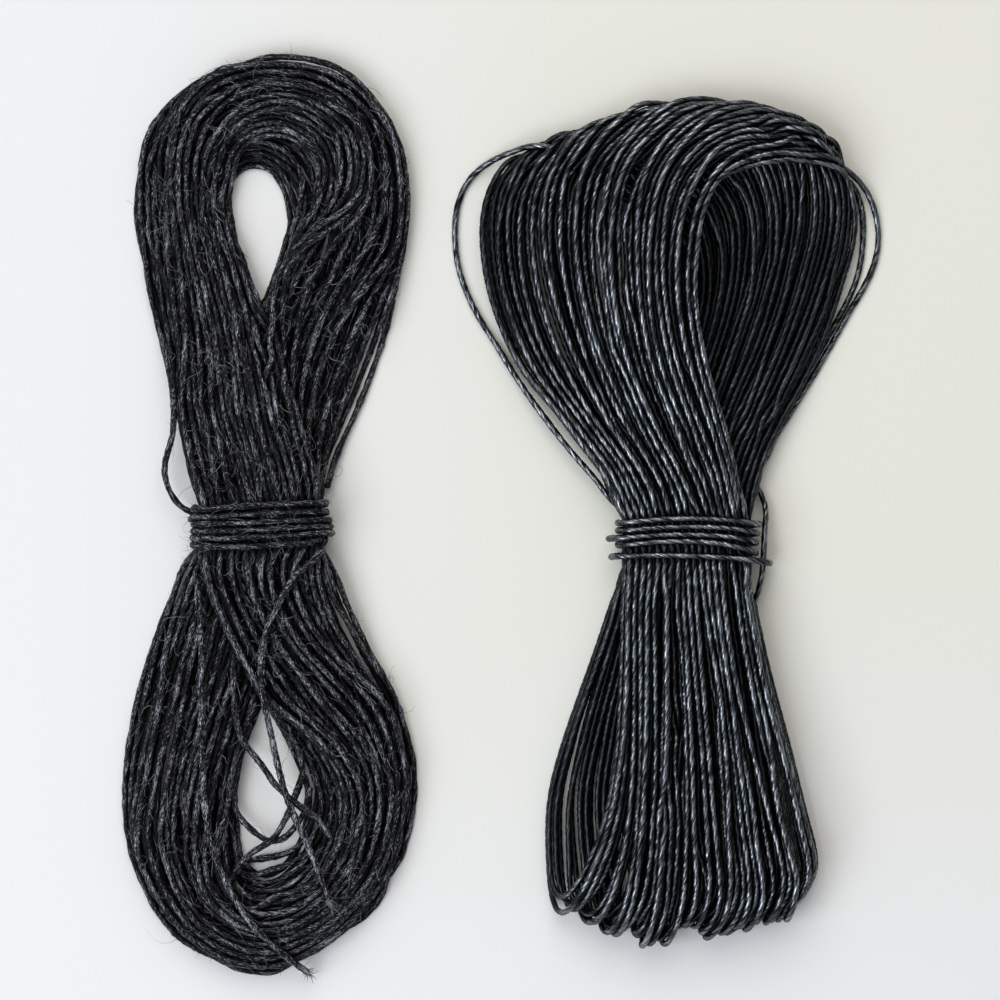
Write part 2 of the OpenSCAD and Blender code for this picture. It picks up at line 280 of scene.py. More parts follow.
@dataclass
class Settling:
    """Moves runs of thread until none lies inside another.

    Every step draws each point a little towards its first place, evens out sharp bends by
    the fourth difference along the run, and pushes two stretches apart along the shortest
    line between them wherever they are closer than one diameter.

    Attributes:
        diameter: least distance between two centre lines.
        spacing: distance between two points of a run.
        steps: how many steps also draw the points back to their first place and down.
        final_steps: how many more steps only push and even out.
        stiffness: how strongly bends are evened out, up to 1.
        final_stiffness: the share of that in the final steps.
        firmness: how much of an overlap one step takes away.
        watched: how near two points are before they are looked at, in diameters.
        watch_every: after how many steps near points are looked for again.
        own_gap: how far along itself a thread starts to be pushed by itself, in diameters.
        piece_reach: half the straight piece that a point stands for, in spacings.
        sharing: how much each push is weakened where many meet at a point.
        limits: moves points back to where they have to stay.
    """

    diameter: float = THREAD_D
    spacing: float = POINT_STEP
    steps: int = 90
    final_steps: int = 24
    stiffness: float = 0.55
    final_stiffness: float = 0.3
    firmness: float = 0.9
    watched: float = 1.75
    watch_every: int = 6
    own_gap: float = 2.2
    piece_reach: float = 0.55
    sharing: float = 0.6
    limits: Callable[[Array], Array] | None = None

    def run(self, runs: Sequence[Run]) -> None:
        """Settles all runs together, and writes their new centre lines back.

        Args:
            runs: the stretches of thread that may touch each other.
        """
        points = np.vstack([r.path for r in runs])
        first = points.copy()
        sizes = [len(r.path) for r in runs]
        per_point = lambda values: np.repeat(values, sizes)[:, None]
        hold = np.hstack([per_point([r.hold for r in runs])] * 2
                         + [per_point([r.hold_height for r in runs])])
        weight = per_point([r.weight for r in runs])[:, 0]
        owner = np.repeat(np.arange(len(runs)), sizes)
        inner = np.where(owner[:-4] == owner[4:])[0] + 2
        gap = int(math.ceil(self.own_gap * self.diameter / self.spacing))
        total = self.steps + self.final_steps
        for step in range(total):
            free = 1.0 if step < self.steps else 0.0
            stiffness = self.stiffness * (1.0 if free else self.final_stiffness)
            if step % self.watch_every == 0:
                pairs = near_pairs(points, self.diameter * self.watched, gap)
            points += free * hold * (first - points)
            points[:, 2] -= free * weight
            bend = (points[inner - 2] + points[inner + 2]
                    - 4 * (points[inner - 1] + points[inner + 1]) + 6 * points[inner])
            points[inner] -= stiffness * bend / 16
            self.push(points, owner, *pairs)
            points[:, 2] = np.maximum(points[:, 2], self.diameter / 2)
            if self.limits:
                points = self.limits(points)
        splits = np.cumsum(sizes)[:-1]
        for run, path in zip(runs, np.split(points, splits)):
            run.path = path

    def push(self, points: Array, owner: Array, i: Array, j: Array) -> None:
        """Pushes near stretches apart.

        Each point stands for the short straight piece of thread round it. The nearest places
        of two such pieces follow from the two-line distance formula, held to their ends.

        Args:
            points: all points, moved in place.
            owner: the number of the run that each belongs to.
            i, j: the first and the second point of each near pair.
        """
        ahead = np.minimum(np.arange(len(points)) + 1, len(points) - 1)
        behind = np.maximum(np.arange(len(points)) - 1, 0)
        ahead = np.where(owner[ahead] == owner, ahead, np.arange(len(points)))
        behind = np.where(owner[behind] == owner, behind, np.arange(len(points)))
        along = unit(points[ahead] - points[behind])
        apart, a, b = points[i] - points[j], along[i], along[j]
        cosine = (a * b).sum(axis=1)
        on_a, on_b = (apart * a).sum(axis=1), (apart * b).sum(axis=1)
        sine2 = 1 - cosine**2
        crossing = sine2 > 0.02  # nearer to parallel than this, the formula breaks down
        safe = np.where(crossing, sine2, 1.0)
        s = np.where(crossing, (cosine * on_b - on_a) / safe, -on_a / 2)
        t = np.where(crossing, (on_b - cosine * on_a) / safe, cosine * on_a / 2)
        reach = self.spacing * self.piece_reach
        s, t = np.clip(s, -reach, reach), np.clip(t, -reach, reach)
        line = apart + s[:, None] * a - t[:, None] * b
        distance = np.linalg.norm(line, axis=1)
        touching = distance < self.diameter
        i, j, line, distance = i[touching], j[touching], line[touching], distance[touching]
        move = line * ((self.diameter - distance) / np.maximum(distance, 1e-6) / 2)[:, None]
        count = np.bincount(i, minlength=len(points)) + np.bincount(j, minlength=len(points))
        share = self.firmness / np.maximum(count, 1) ** self.sharing
        for k in range(3):
            total = (np.bincount(i, move[:, k], len(points))
                     - np.bincount(j, move[:, k], len(points)))
            points[:, k] += share * total


@dataclass
class Crowd:
    """How much thread lies near any place: a blurred count over a grid of cubes.

    Attributes:
        corner: lowest corner of the grid.
        cell: side of a cube.
        density: the blurred count in each cube.
        probe_reach: how far off a thread's surface the count is read.
        open_at, shut_over: the count at which a face starts to be sheltered, and how much more
            shelters it fully.
    """

    corner: Array
    cell: float
    density: Array
    probe_reach: float = 0.8
    open_at: float = 0.05
    shut_over: float = 0.17

    @staticmethod
    def of(paths: Sequence[Array], cell: float = 0.6) -> "Crowd":
        """Counts points along the paths in each cube, then blurs by 1:2:1 twice each way.

        Args:
            paths: centre lines of the threads.
            cell: side of a cube.

        Returns:
            The blurred count.
        """
        points = np.vstack([finer(path, 0.3) for path in paths])
        corner = points.min(axis=0) - 5 * cell
        place = ((points - corner) / cell).astype(int)
        grid = np.zeros(place.max(axis=0) + 6)
        np.add.at(grid, tuple(place.T), 1.0)
        for axis in (0, 0, 1, 1, 2, 2):
            grid = (np.roll(grid, 1, axis) + 2 * grid + np.roll(grid, -1, axis)) / 4
        return Crowd(corner, cell, grid)

    def painted_exposure(self, path: Array, rings: Array) -> Array:
        """How openly each point of a thread's surface lies, from 0 to 1.

        The count is read a little off the surface. The value is painted shade: faces against
        other threads lose their pale wax and their gloss, and faces that lie open keep both.

        Args:
            path: centre line of the thread, a row for each ring.
            rings: points of its surface (rings, sides, 3).

        Returns:
            A value for each point of the surface (rings, sides).
        """
        outwards = unit(rings - path[:, None, :])
        probe = path[:, None, :] + outwards * (THREAD_D / 2 + self.probe_reach)
        place = np.clip((probe - self.corner) / self.cell, 0, np.array(self.density.shape) - 1)
        x, y, z = np.moveaxis(place.astype(int), -1, 0)
        return 1 - smooth((self.density[x, y, z] - self.open_at) / self.shut_over)


# ---- thread as a surface ----


@dataclass(frozen=True)
class Thread:
    """A plied thread: how it is twisted, and how finely its surface is drawn.

    Attributes:
        diameter: diameter over the plies.
        plies, pitch: how many plies it has, and the length of one full turn of them.
        groove, roundness: depth of the grooves as a share of the radius, and the power that
            shapes a ply.
        sides, ring_step: points round the thread, and distance from ring to ring.
        slub, slub_reach: how much it gets thicker and thinner, and over what length.
        lumps: how much single points stand out.
        turn_noise, turn_reach: how unevenly the plies turn, in turns, and over what length.
        end_rings: the rings that round off an end, as distance past it in diameters and width.
    """

    diameter: float = THREAD_D
    plies: int = 3
    pitch: float = 6.0
    groove: float = 0.22
    roundness: float = 0.8
    sides: int = 12
    ring_step: float = 0.7
    slub: float = 0.02
    slub_reach: float = 3.0
    lumps: float = 0.0
    turn_noise: float = 0.14
    turn_reach: float = 9.0
    end_rings: tuple[tuple[float, float], ...] = ((0.18, 0.86), (0.32, 0.5), (0.38, 0.12))

    def coarser(self, sides: int, ring_step: float) -> "Thread":
        """The same thread drawn with fewer faces, for stretches that lie inside."""
        return replace(self, sides=sides, ring_step=ring_step)

    def surface(self, path: Array, rng: np.random.Generator) -> tuple[Array, Array, Array]:
        """Rings round a path that turn with the plies.

        The radius at an angle is R(1 - g + g|cos|^p), with one crest for each ply, and the ring
        is turned by 2 pi times the length so far over the pitch, plus slow noise, so crests run
        as uneven helices. Slow noise along the thread makes it a little thicker and thinner,
        and small lumps make each point stand out or sink in by itself.

        Args:
            path: centre line, one point a row.
            rng: source of the random draws.

        Returns:
            The path with its rounded ends, the points (rings, sides, 3), and the length so
            far at each ring.
        """
        r = self.diameter / 2
        along = unit(np.gradient(path, axis=0))
        head = [path[0] - along[0] * 2 * r * reach for reach, _ in reversed(self.end_rings)]
        tail = [path[-1] + along[-1] * 2 * r * reach for reach, _ in self.end_rings]
        full = np.vstack([head, path, tail])
        widths = [w for _, w in self.end_rings]
        swell = np.concatenate([widths[::-1], np.ones(len(path)), widths])
        run = np.concatenate([[0], np.cumsum(np.linalg.norm(np.diff(full, axis=0), axis=1))])
        swell = swell * (1 + self.slub * np.clip(wander(run, self.slub_reach, rng), -2, 2))
        _, side, above = carried_frames(full)
        k = np.arange(self.sides) / self.sides
        crest = np.abs(np.cos(np.pi * self.plies * k)) ** self.roundness
        radius = r * (1 - self.groove + self.groove * crest)[None, :] * swell[:, None]
        radius = radius * (1 + self.lumps * np.clip(rng.normal(size=radius.shape), -2, 2))
        turn = run / self.pitch + self.turn_noise * wander(run, self.turn_reach, rng)
        angle = 2 * np.pi * (k[None, :] + turn[:, None])
        rings = (full[:, None, :] + (radius * np.cos(angle))[..., None] * side[:, None, :]
                 + (radius * np.sin(angle))[..., None] * above[:, None, :])
        return full, rings, run


def tube_faces(rings: int, sides: int) -> Array:
    """Quads between ring after ring, in the order ring then side, facing outwards.

    Args:
        rings: how many rings there are.
        sides: how many points a ring has.

    Returns:
        Four corners a row.
    """
    i, k = np.meshgrid(np.arange(rings - 1), np.arange(sides), indexing="ij")
    a, b = i * sides + k, i * sides + (k + 1) % sides
    return np.stack([a, b, b + sides, a + sides], axis=-1).reshape(-1, 4)


def cap_faces(rings: int, sides: int) -> Array:
    """Triangles that close the first and the last ring, as fans.

    Args:
        rings: how many rings there are.
        sides: how many points a ring has.

    Returns:
        Three corners a row.
    """
    k = np.arange(1, sides - 1)
    first = np.stack([np.zeros_like(k), k + 1, k], axis=-1)
    last = np.stack([np.zeros_like(k), k, k + 1], axis=-1) + (rings - 1) * sides
    return np.vstack([first, last])


@dataclass
class Skin:
    """A mesh in the making: points, quads, triangles, and a place on two maps per corner.

    Both maps list the corners of the quads first and those of the triangles after them.
    """

    points: Array
    quads: Array
    triangles: Array
    lay_map: Array
    bake_map: Array

    @staticmethod
    def joined(skins: Sequence["Skin"]) -> "Skin":
        """Several skins as one mesh. Their bake maps are stacked in equal strips.

        Args:
            skins: the skins, in the order of their points.

        Returns:
            The joined skin.
        """
        offsets = np.cumsum([0] + [len(s.points) for s in skins[:-1]])
        n = len(skins)
        quad_corners = [4 * len(s.quads) for s in skins]
        lay = ([s.lay_map[:q] for s, q in zip(skins, quad_corners)]
               + [s.lay_map[q:] for s, q in zip(skins, quad_corners)])
        strips = [s.bake_map * [1, 1 / n] + [0, i / n] for i, s in enumerate(skins)]
        bake = ([s[:q] for s, q in zip(strips, quad_corners)]
                + [s[q:] for s, q in zip(strips, quad_corners)])
        return Skin(
            np.vstack([s.points for s in skins]),
            np.vstack([s.quads + o for s, o in zip(skins, offsets)]),
            np.vstack([s.triangles + o for s, o in zip(skins, offsets)]),
            np.vstack(lay), np.vstack(bake),
        )

    def to_object(self, name: str, material: bpy.types.Material) -> bpy.types.Object:
        """The mesh object, at the origin, smooth, with maps named Lay and OFBake.

        Args:
            name: name of the object and of its mesh.
            material: its only material.

        Returns:
            The object, linked to the scene.
        """
        mesh = bpy.data.meshes.new(name)
        corners = np.concatenate([self.quads.ravel(), self.triangles.ravel()])
        faces = len(self.quads) + len(self.triangles)
        starts = np.concatenate([
            np.arange(len(self.quads)) * 4,
            len(self.quads) * 4 + np.arange(len(self.triangles)) * 3,
        ])
        mesh.vertices.add(len(self.points))
        mesh.vertices.foreach_set("co", (self.points * MM).astype(np.float32).ravel())
        mesh.loops.add(len(corners))
        mesh.loops.foreach_set("vertex_index", corners.astype(np.int32))
        mesh.polygons.add(faces)
        mesh.polygons.foreach_set("loop_start", starts.astype(np.int32))
        mesh.polygons.foreach_set("use_smooth", np.ones(faces, dtype=bool))
        for map_name, values in (("Lay", self.lay_map), ("OFBake", self.bake_map)):
            layer = mesh.uv_layers.new(name=map_name)
            layer.data.foreach_set("uv", values.astype(np.float32).ravel())
        mesh.update(calc_edges=True)
        mesh.validate()
        mesh.materials.append(material)
        obj = bpy.data.objects.new(name, mesh)
        bpy.context.scene.collection.objects.link(obj)
        return obj


def tube_skin(rings: Array, run: Array) -> Skin:
    """The skin of a tube from its rings.

    The Lay map holds the share of the way round and the millimetres along. The bake map cuts
    the tube into equal lengths and lays them above each other in the unit square, with a
    margin between them. The caps go into the lowest margin.

    Args:
        rings: points of the tube (rings, sides, 3).
        run: length so far at each ring.

    Returns:
        The skin, with both maps.
    """
    count, sides, _ = rings.shape
    girth, margin = 3.2, 0.08
    rows = max(1, int(round(math.sqrt(max(run[-1], 1.0) / girth))))
    per_row = int(math.ceil((count - 1) / rows))
    i, k = np.meshgrid(np.arange(count - 1), np.arange(sides), indexing="ij")
    step_i, step_k = np.array([0, 0, 1, 1]), np.array([0, 1, 1, 0])
    ring = i[..., None] + step_i
    turn = (k[..., None] + step_k) / sides
    lay = np.stack([turn, run[ring]], axis=-1).reshape(-1, 2)
    row = (i // per_row)[..., None]
    u = ((i % per_row)[..., None] + step_i) / per_row
    v = (row + margin + (1 - 2 * margin) * turn) / rows
    bake = np.stack([0.002 + 0.996 * u, v], axis=-1).reshape(-1, 2)
    caps = cap_faces(count, sides)
    cap_ring = caps // sides
    cap_lay = np.stack([(caps % sides) / sides, run[cap_ring]], axis=-1).reshape(-1, 2)
    angle = 2 * np.pi * (caps % sides) / sides
    spot = margin / rows * 0.3
    cap_bake = np.stack([0.01 + spot * np.cos(angle) + 0.02 * (cap_ring > 0),
                         spot * (1.2 + np.sin(angle))], axis=-1).reshape(-1, 2)
    return Skin(rings.reshape(-1, 3), tube_faces(count, sides), caps,
                np.vstack([lay, cap_lay]), np.vstack([bake, cap_bake]))


# ---- finishes ----


def add(tree: bpy.types.NodeTree, kind: str, **values: object) -> bpy.types.Node:
    """A node of that kind, with its properties and then its inputs set by name.

    Args:
        tree: the tree that gets the node.
        kind: the node's type.
        values: properties or inputs by name, with _ for a blank.

    Returns:
        The node.
    """
    node = tree.nodes.new(kind)
    for key, value in values.items():
        if hasattr(node, key):
            setattr(node, key, value)
        else:
            node.inputs[key.replace("_", " ")].default_value = value
    return node


def math_node(tree: bpy.types.NodeTree, operation: str, *values: object
              ) -> bpy.types.NodeSocket:
    """A Math node on sockets or numbers, and its output.

    Args:
        tree: the tree that gets the node.
        operation: what it works out.
        values: a socket or a number for each input.

    Returns:
        Its output.
    """
    node = tree.nodes.new("ShaderNodeMath")
    node.operation = operation
    for socket, value in zip(node.inputs, values):
        if isinstance(value, bpy.types.NodeSocket):
            tree.links.new(value, socket)
        else:
            socket.default_value = value
    return node.outputs[0]


def yarn_group() -> bpy.types.NodeTree:
    """Shader group for spun fibre on a thread, read from its Lay map.

    Fibres are noise drawn out along the ply. Bloom is slower noise, the pale haze that wax
    leaves in patches. Crest is |cos| of the place between two grooves: 0 in the groove, 1 on
    top of the ply. All run from 0 to 1.

    Returns:
        The group, for every waxed thread.
    """
    group = bpy.data.node_groups.new("Spun fibre", "ShaderNodeTree")
    face = group.interface
    for name, kind, value in (("Fibres Around", "NodeSocketFloat", 26.0),
                              ("Fibres Along", "NodeSocketFloat", 0.9),
                              ("Bloom Size", "NodeSocketFloat", 0.35),
                              ("Plies", "NodeSocketFloat", 3.0)):
        face.new_socket(name, in_out="INPUT", socket_type=kind).default_value = value
    for name in ("Fibres", "Bloom", "Specks", "Crest"):
        face.new_socket(name, in_out="OUTPUT", socket_type="NodeSocketFloat")
    inside = group.nodes.new("NodeGroupInput")
    out = group.nodes.new("NodeGroupOutput")
    lay = add(group, "ShaderNodeUVMap", uv_map="Lay")
    split = add(group, "ShaderNodeSeparateXYZ")
    group.links.new(lay.outputs[0], split.inputs[0])
    around = math_node(group, "MULTIPLY", split.outputs[0], 2 * math.pi)
    cos, sin = math_node(group, "COSINE", around), math_node(group, "SINE", around)

    def place(across: object, along: object) -> bpy.types.NodeSocket:
        """Round the thread without a seam: (cos, sin) times across, and length times along.

        Args:
            across: radius of the circle in the noise.
            along: how far the noise goes for each millimetre.

        Returns:
            The place as a vector.
        """
        join = add(group, "ShaderNodeCombineXYZ")
        group.links.new(math_node(group, "MULTIPLY", cos, across), join.inputs[0])
        group.links.new(math_node(group, "MULTIPLY", sin, across), join.inputs[1])
        group.links.new(math_node(group, "MULTIPLY", split.outputs[1], along), join.inputs[2])
        return join.outputs[0]

    # A circle of this radius in the noise has as many fibres round it as its input says
    across = math_node(group, "MULTIPLY", inside.outputs["Fibres Around"], 0.16)
    fibres = add(group, "ShaderNodeTexNoise", Scale=1.0, Detail=3.0, Roughness=0.62)
    group.links.new(place(across, inside.outputs["Fibres Along"]), fibres.inputs["Vector"])
    bloom = add(group, "ShaderNodeTexNoise", Scale=1.0, Detail=4.0, Roughness=0.66)
    group.links.new(place(0.55, inside.outputs["Bloom Size"]), bloom.inputs["Vector"])
    specks = add(group, "ShaderNodeTexNoise", Scale=1.0, Detail=2.0, Roughness=0.5)
    group.links.new(place(3.1, 4.6), specks.inputs["Vector"])
    for name, noise in (("Fibres", fibres), ("Bloom", bloom), ("Specks", specks)):
        group.links.new(noise.outputs["Fac"], out.inputs[name])
    ply = math_node(group, "MULTIPLY", split.outputs[0], inside.outputs["Plies"])
    wave = math_node(group, "COSINE", math_node(group, "MULTIPLY", ply, math.pi))
    group.links.new(math_node(group, "ABSOLUTE", wave), out.inputs["Crest"])
    return group


def ramp(tree: bpy.types.NodeTree, value: bpy.types.NodeSocket,
         stops: Sequence[tuple[float, Sequence[float]]]) -> bpy.types.NodeSocket:
    """A Color Ramp on a value, with stops of position and colour or grey.

    Args:
        tree: the tree that gets the node.
        value: what is looked up.
        stops: for each stop its position and its colour.

    Returns:
        Its colour.
    """
    node = add(tree, "ShaderNodeValToRGB")
    tree.links.new(value, node.inputs[0])
    points = node.color_ramp.elements
    while len(points) < len(stops):
        points.new(0.5)
    for point, (position, colour) in zip(points, stops):
        point.position = position
        point.color = tuple(colour) + (1.0,)
    return node.outputs[0]


def grey(value: float) -> tuple[float, float, float]:
    """A grey as a colour."""
    return value, value, value


@dataclass(frozen=True)
class ThreadFinish:
    """Finish of a waxed thread.

    Attributes:
        dark, pale: colours of the bare thread and of the wax on it.
        wax: where in the noise the wax starts and is full.
        bloom_share: how much of that noise is slow bloom, and not fibres.
        roughness: of the bare thread and of the wax.
        ior: index of refraction.
        specular: Specular IOR Level of the bare thread and of the wax.
        tint: colour of its reflections.
        groove: how much painted shade darkens and dulls the groove between two plies, 0 to 1.
        plies: how many plies the thread has.
        fibres_around, fibres_along, bloom_size: scale of the noise.
        bump, bump_depth: strength, and height in millimetres.
    """

    name: str
    dark: tuple[float, float, float]
    pale: tuple[float, float, float]
    wax: tuple[float, float]
    bloom_share: float
    roughness: tuple[float, float]
    ior: float
    specular: tuple[float, float]
    tint: tuple[float, float, float]
    groove: float
    plies: int
    fibres_around: float
    fibres_along: float
    bloom_size: float
    bump: float
    bump_depth: float

    def material(self, yarn: bpy.types.NodeTree) -> bpy.types.Material:
        """The material: fibres in the bump, flecks of wax in colour, gloss and roughness, with
        painted shade that takes wax and gloss from the ply grooves and from crowded faces.

        Args:
            yarn: the shader group for spun fibre.

        Returns:
            The material.
        """
        material = bpy.data.materials.new(self.name)
        material.use_nodes = True
        tree = material.node_tree
        shader = tree.nodes["Principled BSDF"]
        group = tree.nodes.new("ShaderNodeGroup")
        group.node_tree = yarn
        group.inputs["Fibres Around"].default_value = self.fibres_around
        group.inputs["Fibres Along"].default_value = self.fibres_along
        group.inputs["Bloom Size"].default_value = self.bloom_size
        group.inputs["Plies"].default_value = self.plies
        fibres, bloom, specks = (group.outputs[n] for n in ("Fibres", "Bloom", "Specks"))
        mixed = math_node(tree, "ADD", math_node(tree, "MULTIPLY", bloom, self.bloom_share),
                          math_node(tree, "MULTIPLY", fibres, 1 - self.bloom_share))
        fleck = ramp(tree, mixed, [(self.wax[0], grey(0.0)), (self.wax[1], grey(1.0))])
        # Painted shade in the groove between two plies: less pale wax and less gloss there
        top = ramp(tree, group.outputs["Crest"], [(0.04, grey(1 - self.groove)),
                                                  (0.26, grey(1.0))])
        # Painted shade read from an attribute: crowded or low faces get less pale wax and gloss
        painted_exposure = add(tree, "ShaderNodeAttribute", attribute_name="PaintedExposure")
        wax_and_shade = math_node(tree, "MULTIPLY", math_node(tree, "MULTIPLY", fleck, top),
                          painted_exposure.outputs["Fac"])
        tree.links.new(ramp(tree, wax_and_shade, [(0.0, self.dark), (1.0, self.pale)]),
                       shader.inputs["Base Color"])
        tree.links.new(ramp(tree, wax_and_shade, [(0.0, grey(self.roughness[0])),
                                          (1.0, grey(self.roughness[1]))]),
                       shader.inputs["Roughness"])
        shader.inputs["IOR"].default_value = self.ior
        shader.inputs["Specular Tint"].default_value = (*self.tint, 1.0)
        gloss = ramp(tree, wax_and_shade, [(0.0, grey(self.specular[0])), (1.0, grey(self.specular[1]))])
        tree.links.new(math_node(tree, "MULTIPLY", gloss, top),
                       shader.inputs["Specular IOR Level"])
        height = math_node(tree, "ADD", fibres, math_node(tree, "MULTIPLY", specks, 0.5))
        bump = add(tree, "ShaderNodeBump", Strength=self.bump, Distance=self.bump_depth * MM)
        tree.links.new(height, bump.inputs["Height"])
        tree.links.new(bump.outputs[0], shader.inputs["Normal"])
        return material


WAXED_LINEN = ThreadFinish(
    name="Waxed linen", dark=(0.0026, 0.0027, 0.0038), pale=(0.68, 0.69, 0.79),
    wax=(0.53, 0.665), bloom_share=0.34, roughness=(0.5, 0.5), ior=1.5,
    specular=(0.12, 0.6), tint=(1.0, 1.0, 1.0), groove=0.45, plies=4, fibres_around=34.0,
    fibres_along=1.9, bloom_size=0.16, bump=0.8, bump_depth=0.09,
)
WAXED_POLYESTER = ThreadFinish(
    name="Waxed polyester", dark=(0.0010, 0.0013, 0.0019), pale=(0.016, 0.021, 0.033),
    wax=(0.44, 0.61), bloom_share=0.5, roughness=(0.36, 0.28), ior=2.8,
    specular=(0.05, 1.0), tint=(0.88, 0.94, 1.0), groove=0.75, plies=3, fibres_around=11.0,
    fibres_along=0.45, bloom_size=0.13, bump=0.5, bump_depth=0.008,
)


@dataclass(frozen=True)
class FibreFinish:
    """Finish of the loose fibres: pale or dark from fibre to fibre."""

    name: str = "Loose flax fibre"
    dark: tuple[float, float, float] = (0.015, 0.015, 0.018)
    pale: tuple[float, float, float] = (0.36, 0.365, 0.385)

    def material(self) -> bpy.types.Material:
        """The material, whose colour follows noise over the object.

        Returns:
            The material.
        """
        material = bpy.data.materials.new(self.name)
        material.use_nodes = True
        tree = material.node_tree
        shader = tree.nodes["Principled BSDF"]
        place = add(tree, "ShaderNodeTexCoord")
        noise = add(tree, "ShaderNodeTexNoise", Scale=320.0, Detail=2.0)
        tree.links.new(place.outputs["Object"], noise.inputs["Vector"])
        tree.links.new(ramp(tree, noise.outputs["Fac"], [(0.42, self.dark), (0.64, self.pale)]),
                       shader.inputs["Base Color"])
        shader.inputs["Roughness"].default_value = 0.6
        return material


# ---- how loops lie in a hank ----


def loop_places(layers: Sequence[int]) -> tuple[Array, Array]:
    """Each loop's place across and its height, both from 0 to 1.

    Loops fill a layer from one side to the other and the next layer on the way back. The last
    place is given twice, for the loop that would follow.

    Args:
        layers: how many loops each layer has.

    Returns:
        The places across and the heights, each with one value more than loops.
    """
    across, up = [], []
    for n, count in enumerate(layers):
        row = (np.arange(count) + 0.5) / count
        across.append(row[::-1] if n % 2 else row)
        up.append(np.full(count, n / max(1, len(layers) - 1)))
    return tuple(np.append(v := np.concatenate(part), v[-1]) for part in (across, up))


def stairs(values: Array, g: Array, change: float) -> Array:
    """A value for each loop, which goes over to the next one's in the last share of the loop.

    Args:
        values: one value for each loop and one more.
        g: loops so far.
        change: the share of a loop in which it changes.

    Returns:
        A value for each place.
    """
    i = np.minimum(g.astype(int), len(values) - 2)
    return values[i] + (values[i + 1] - values[i]) * smooth((g - i - 1 + change) / change)


def round_table(table: Array, t: Array) -> Array:
    """Values of a closed table at rows t, by Catmull-Rom curves from row to row.

    Args:
        table: a row of values for each place round the loop.
        t: places round the loop, counted in rows.

    Returns:
        A row of values for each t.
    """
    i = np.floor(t).astype(int)
    weights = catmull_weights(t - i)
    shape = (-1,) + (1,) * (table.ndim - 1)
    return sum(weights[:, k].reshape(shape) * table[(i + k - 1) % len(table)] for k in range(4))


@dataclass(frozen=True)
class Tie:
    """Turns of thread round a waist, each given by its reach and its place at both sides.

    Attributes:
        left: for each turn, how far it reaches to the left of the waist, and its y there.
        right: the same at the right, half a turn on.
        rise: for each turn, how much higher up the hank its front bows than its sides.
        start: where the tie starts, in turns from the first left side.
        end: where it ends, in turns from the last left side.
        low: height of the turns below the hank.
        high: their height above it.
        power: how square a turn is, from 1, round, towards 0.
    """

    left: tuple[tuple[float, float], ...]
    right: tuple[tuple[float, float], ...]
    rise: tuple[float, ...]
    start: float
    end: float
    low: float = 0.55
    high: float = 8.4
    power: float = 0.42

    def path(self, waist: tuple[float, float]) -> Array:
        """Centre line of the turns.

        Each is a flat rounded loop, x = a sgn(cos)|cos|^p and z = b sgn(sin)|sin|^p.

        Args:
            waist: x and y of the waist.

        Returns:
            Points of the line, one a row.
        """
        n = len(self.left)
        t = np.linspace(self.start, n - 1 + self.end, n * TURN_POINTS)
        angle = np.pi - 2 * np.pi * t
        cos, sin = np.cos(angle), np.sin(angle)
        side = np.sign(cos) * np.abs(cos) ** self.power
        lift = np.sign(sin) * np.abs(sin) ** self.power
        turns = np.arange(n)
        reach_left, y_left = (np.interp(t, turns, part) for part in zip(*self.left))
        reach_right, y_right = (np.interp(t - 0.5, turns, part) for part in zip(*self.right))
        x = waist[0] + side * np.where(side < 0, reach_left, reach_right)
        z = (self.low + self.high) / 2 + (self.high - self.low) / 2 * lift
        y = waist[1] + y_left + (y_right - y_left) * (side + 1) / 2
        y = y + np.interp(t - 0.25, turns, self.rise) * (1 - side**2) * (lift > 0)
        return evenly(np.stack([x, y, z], axis=-1), POINT_STEP)


# ---- what both hanks have in common ----


@dataclass(frozen=True)
class Strand:
    """A stretch of thread that strays from the loops.

    Attributes:
        piece, node: its name, and the CAD node that it stands for.
        route: points with x and y from the waist, and z from the bench.
        hold, hold_height, weight: as in a Run.
        bare: whether its far end is a cut end and not the hank.
        last: whether it comes after the other strands in the runs that settle together.
    """

    piece: str
    node: str
    route: tuple[tuple[float, float, float], ...]
    hold: float
    hold_height: float
    weight: float = 0.0
    bare: bool = False
    last: bool = False


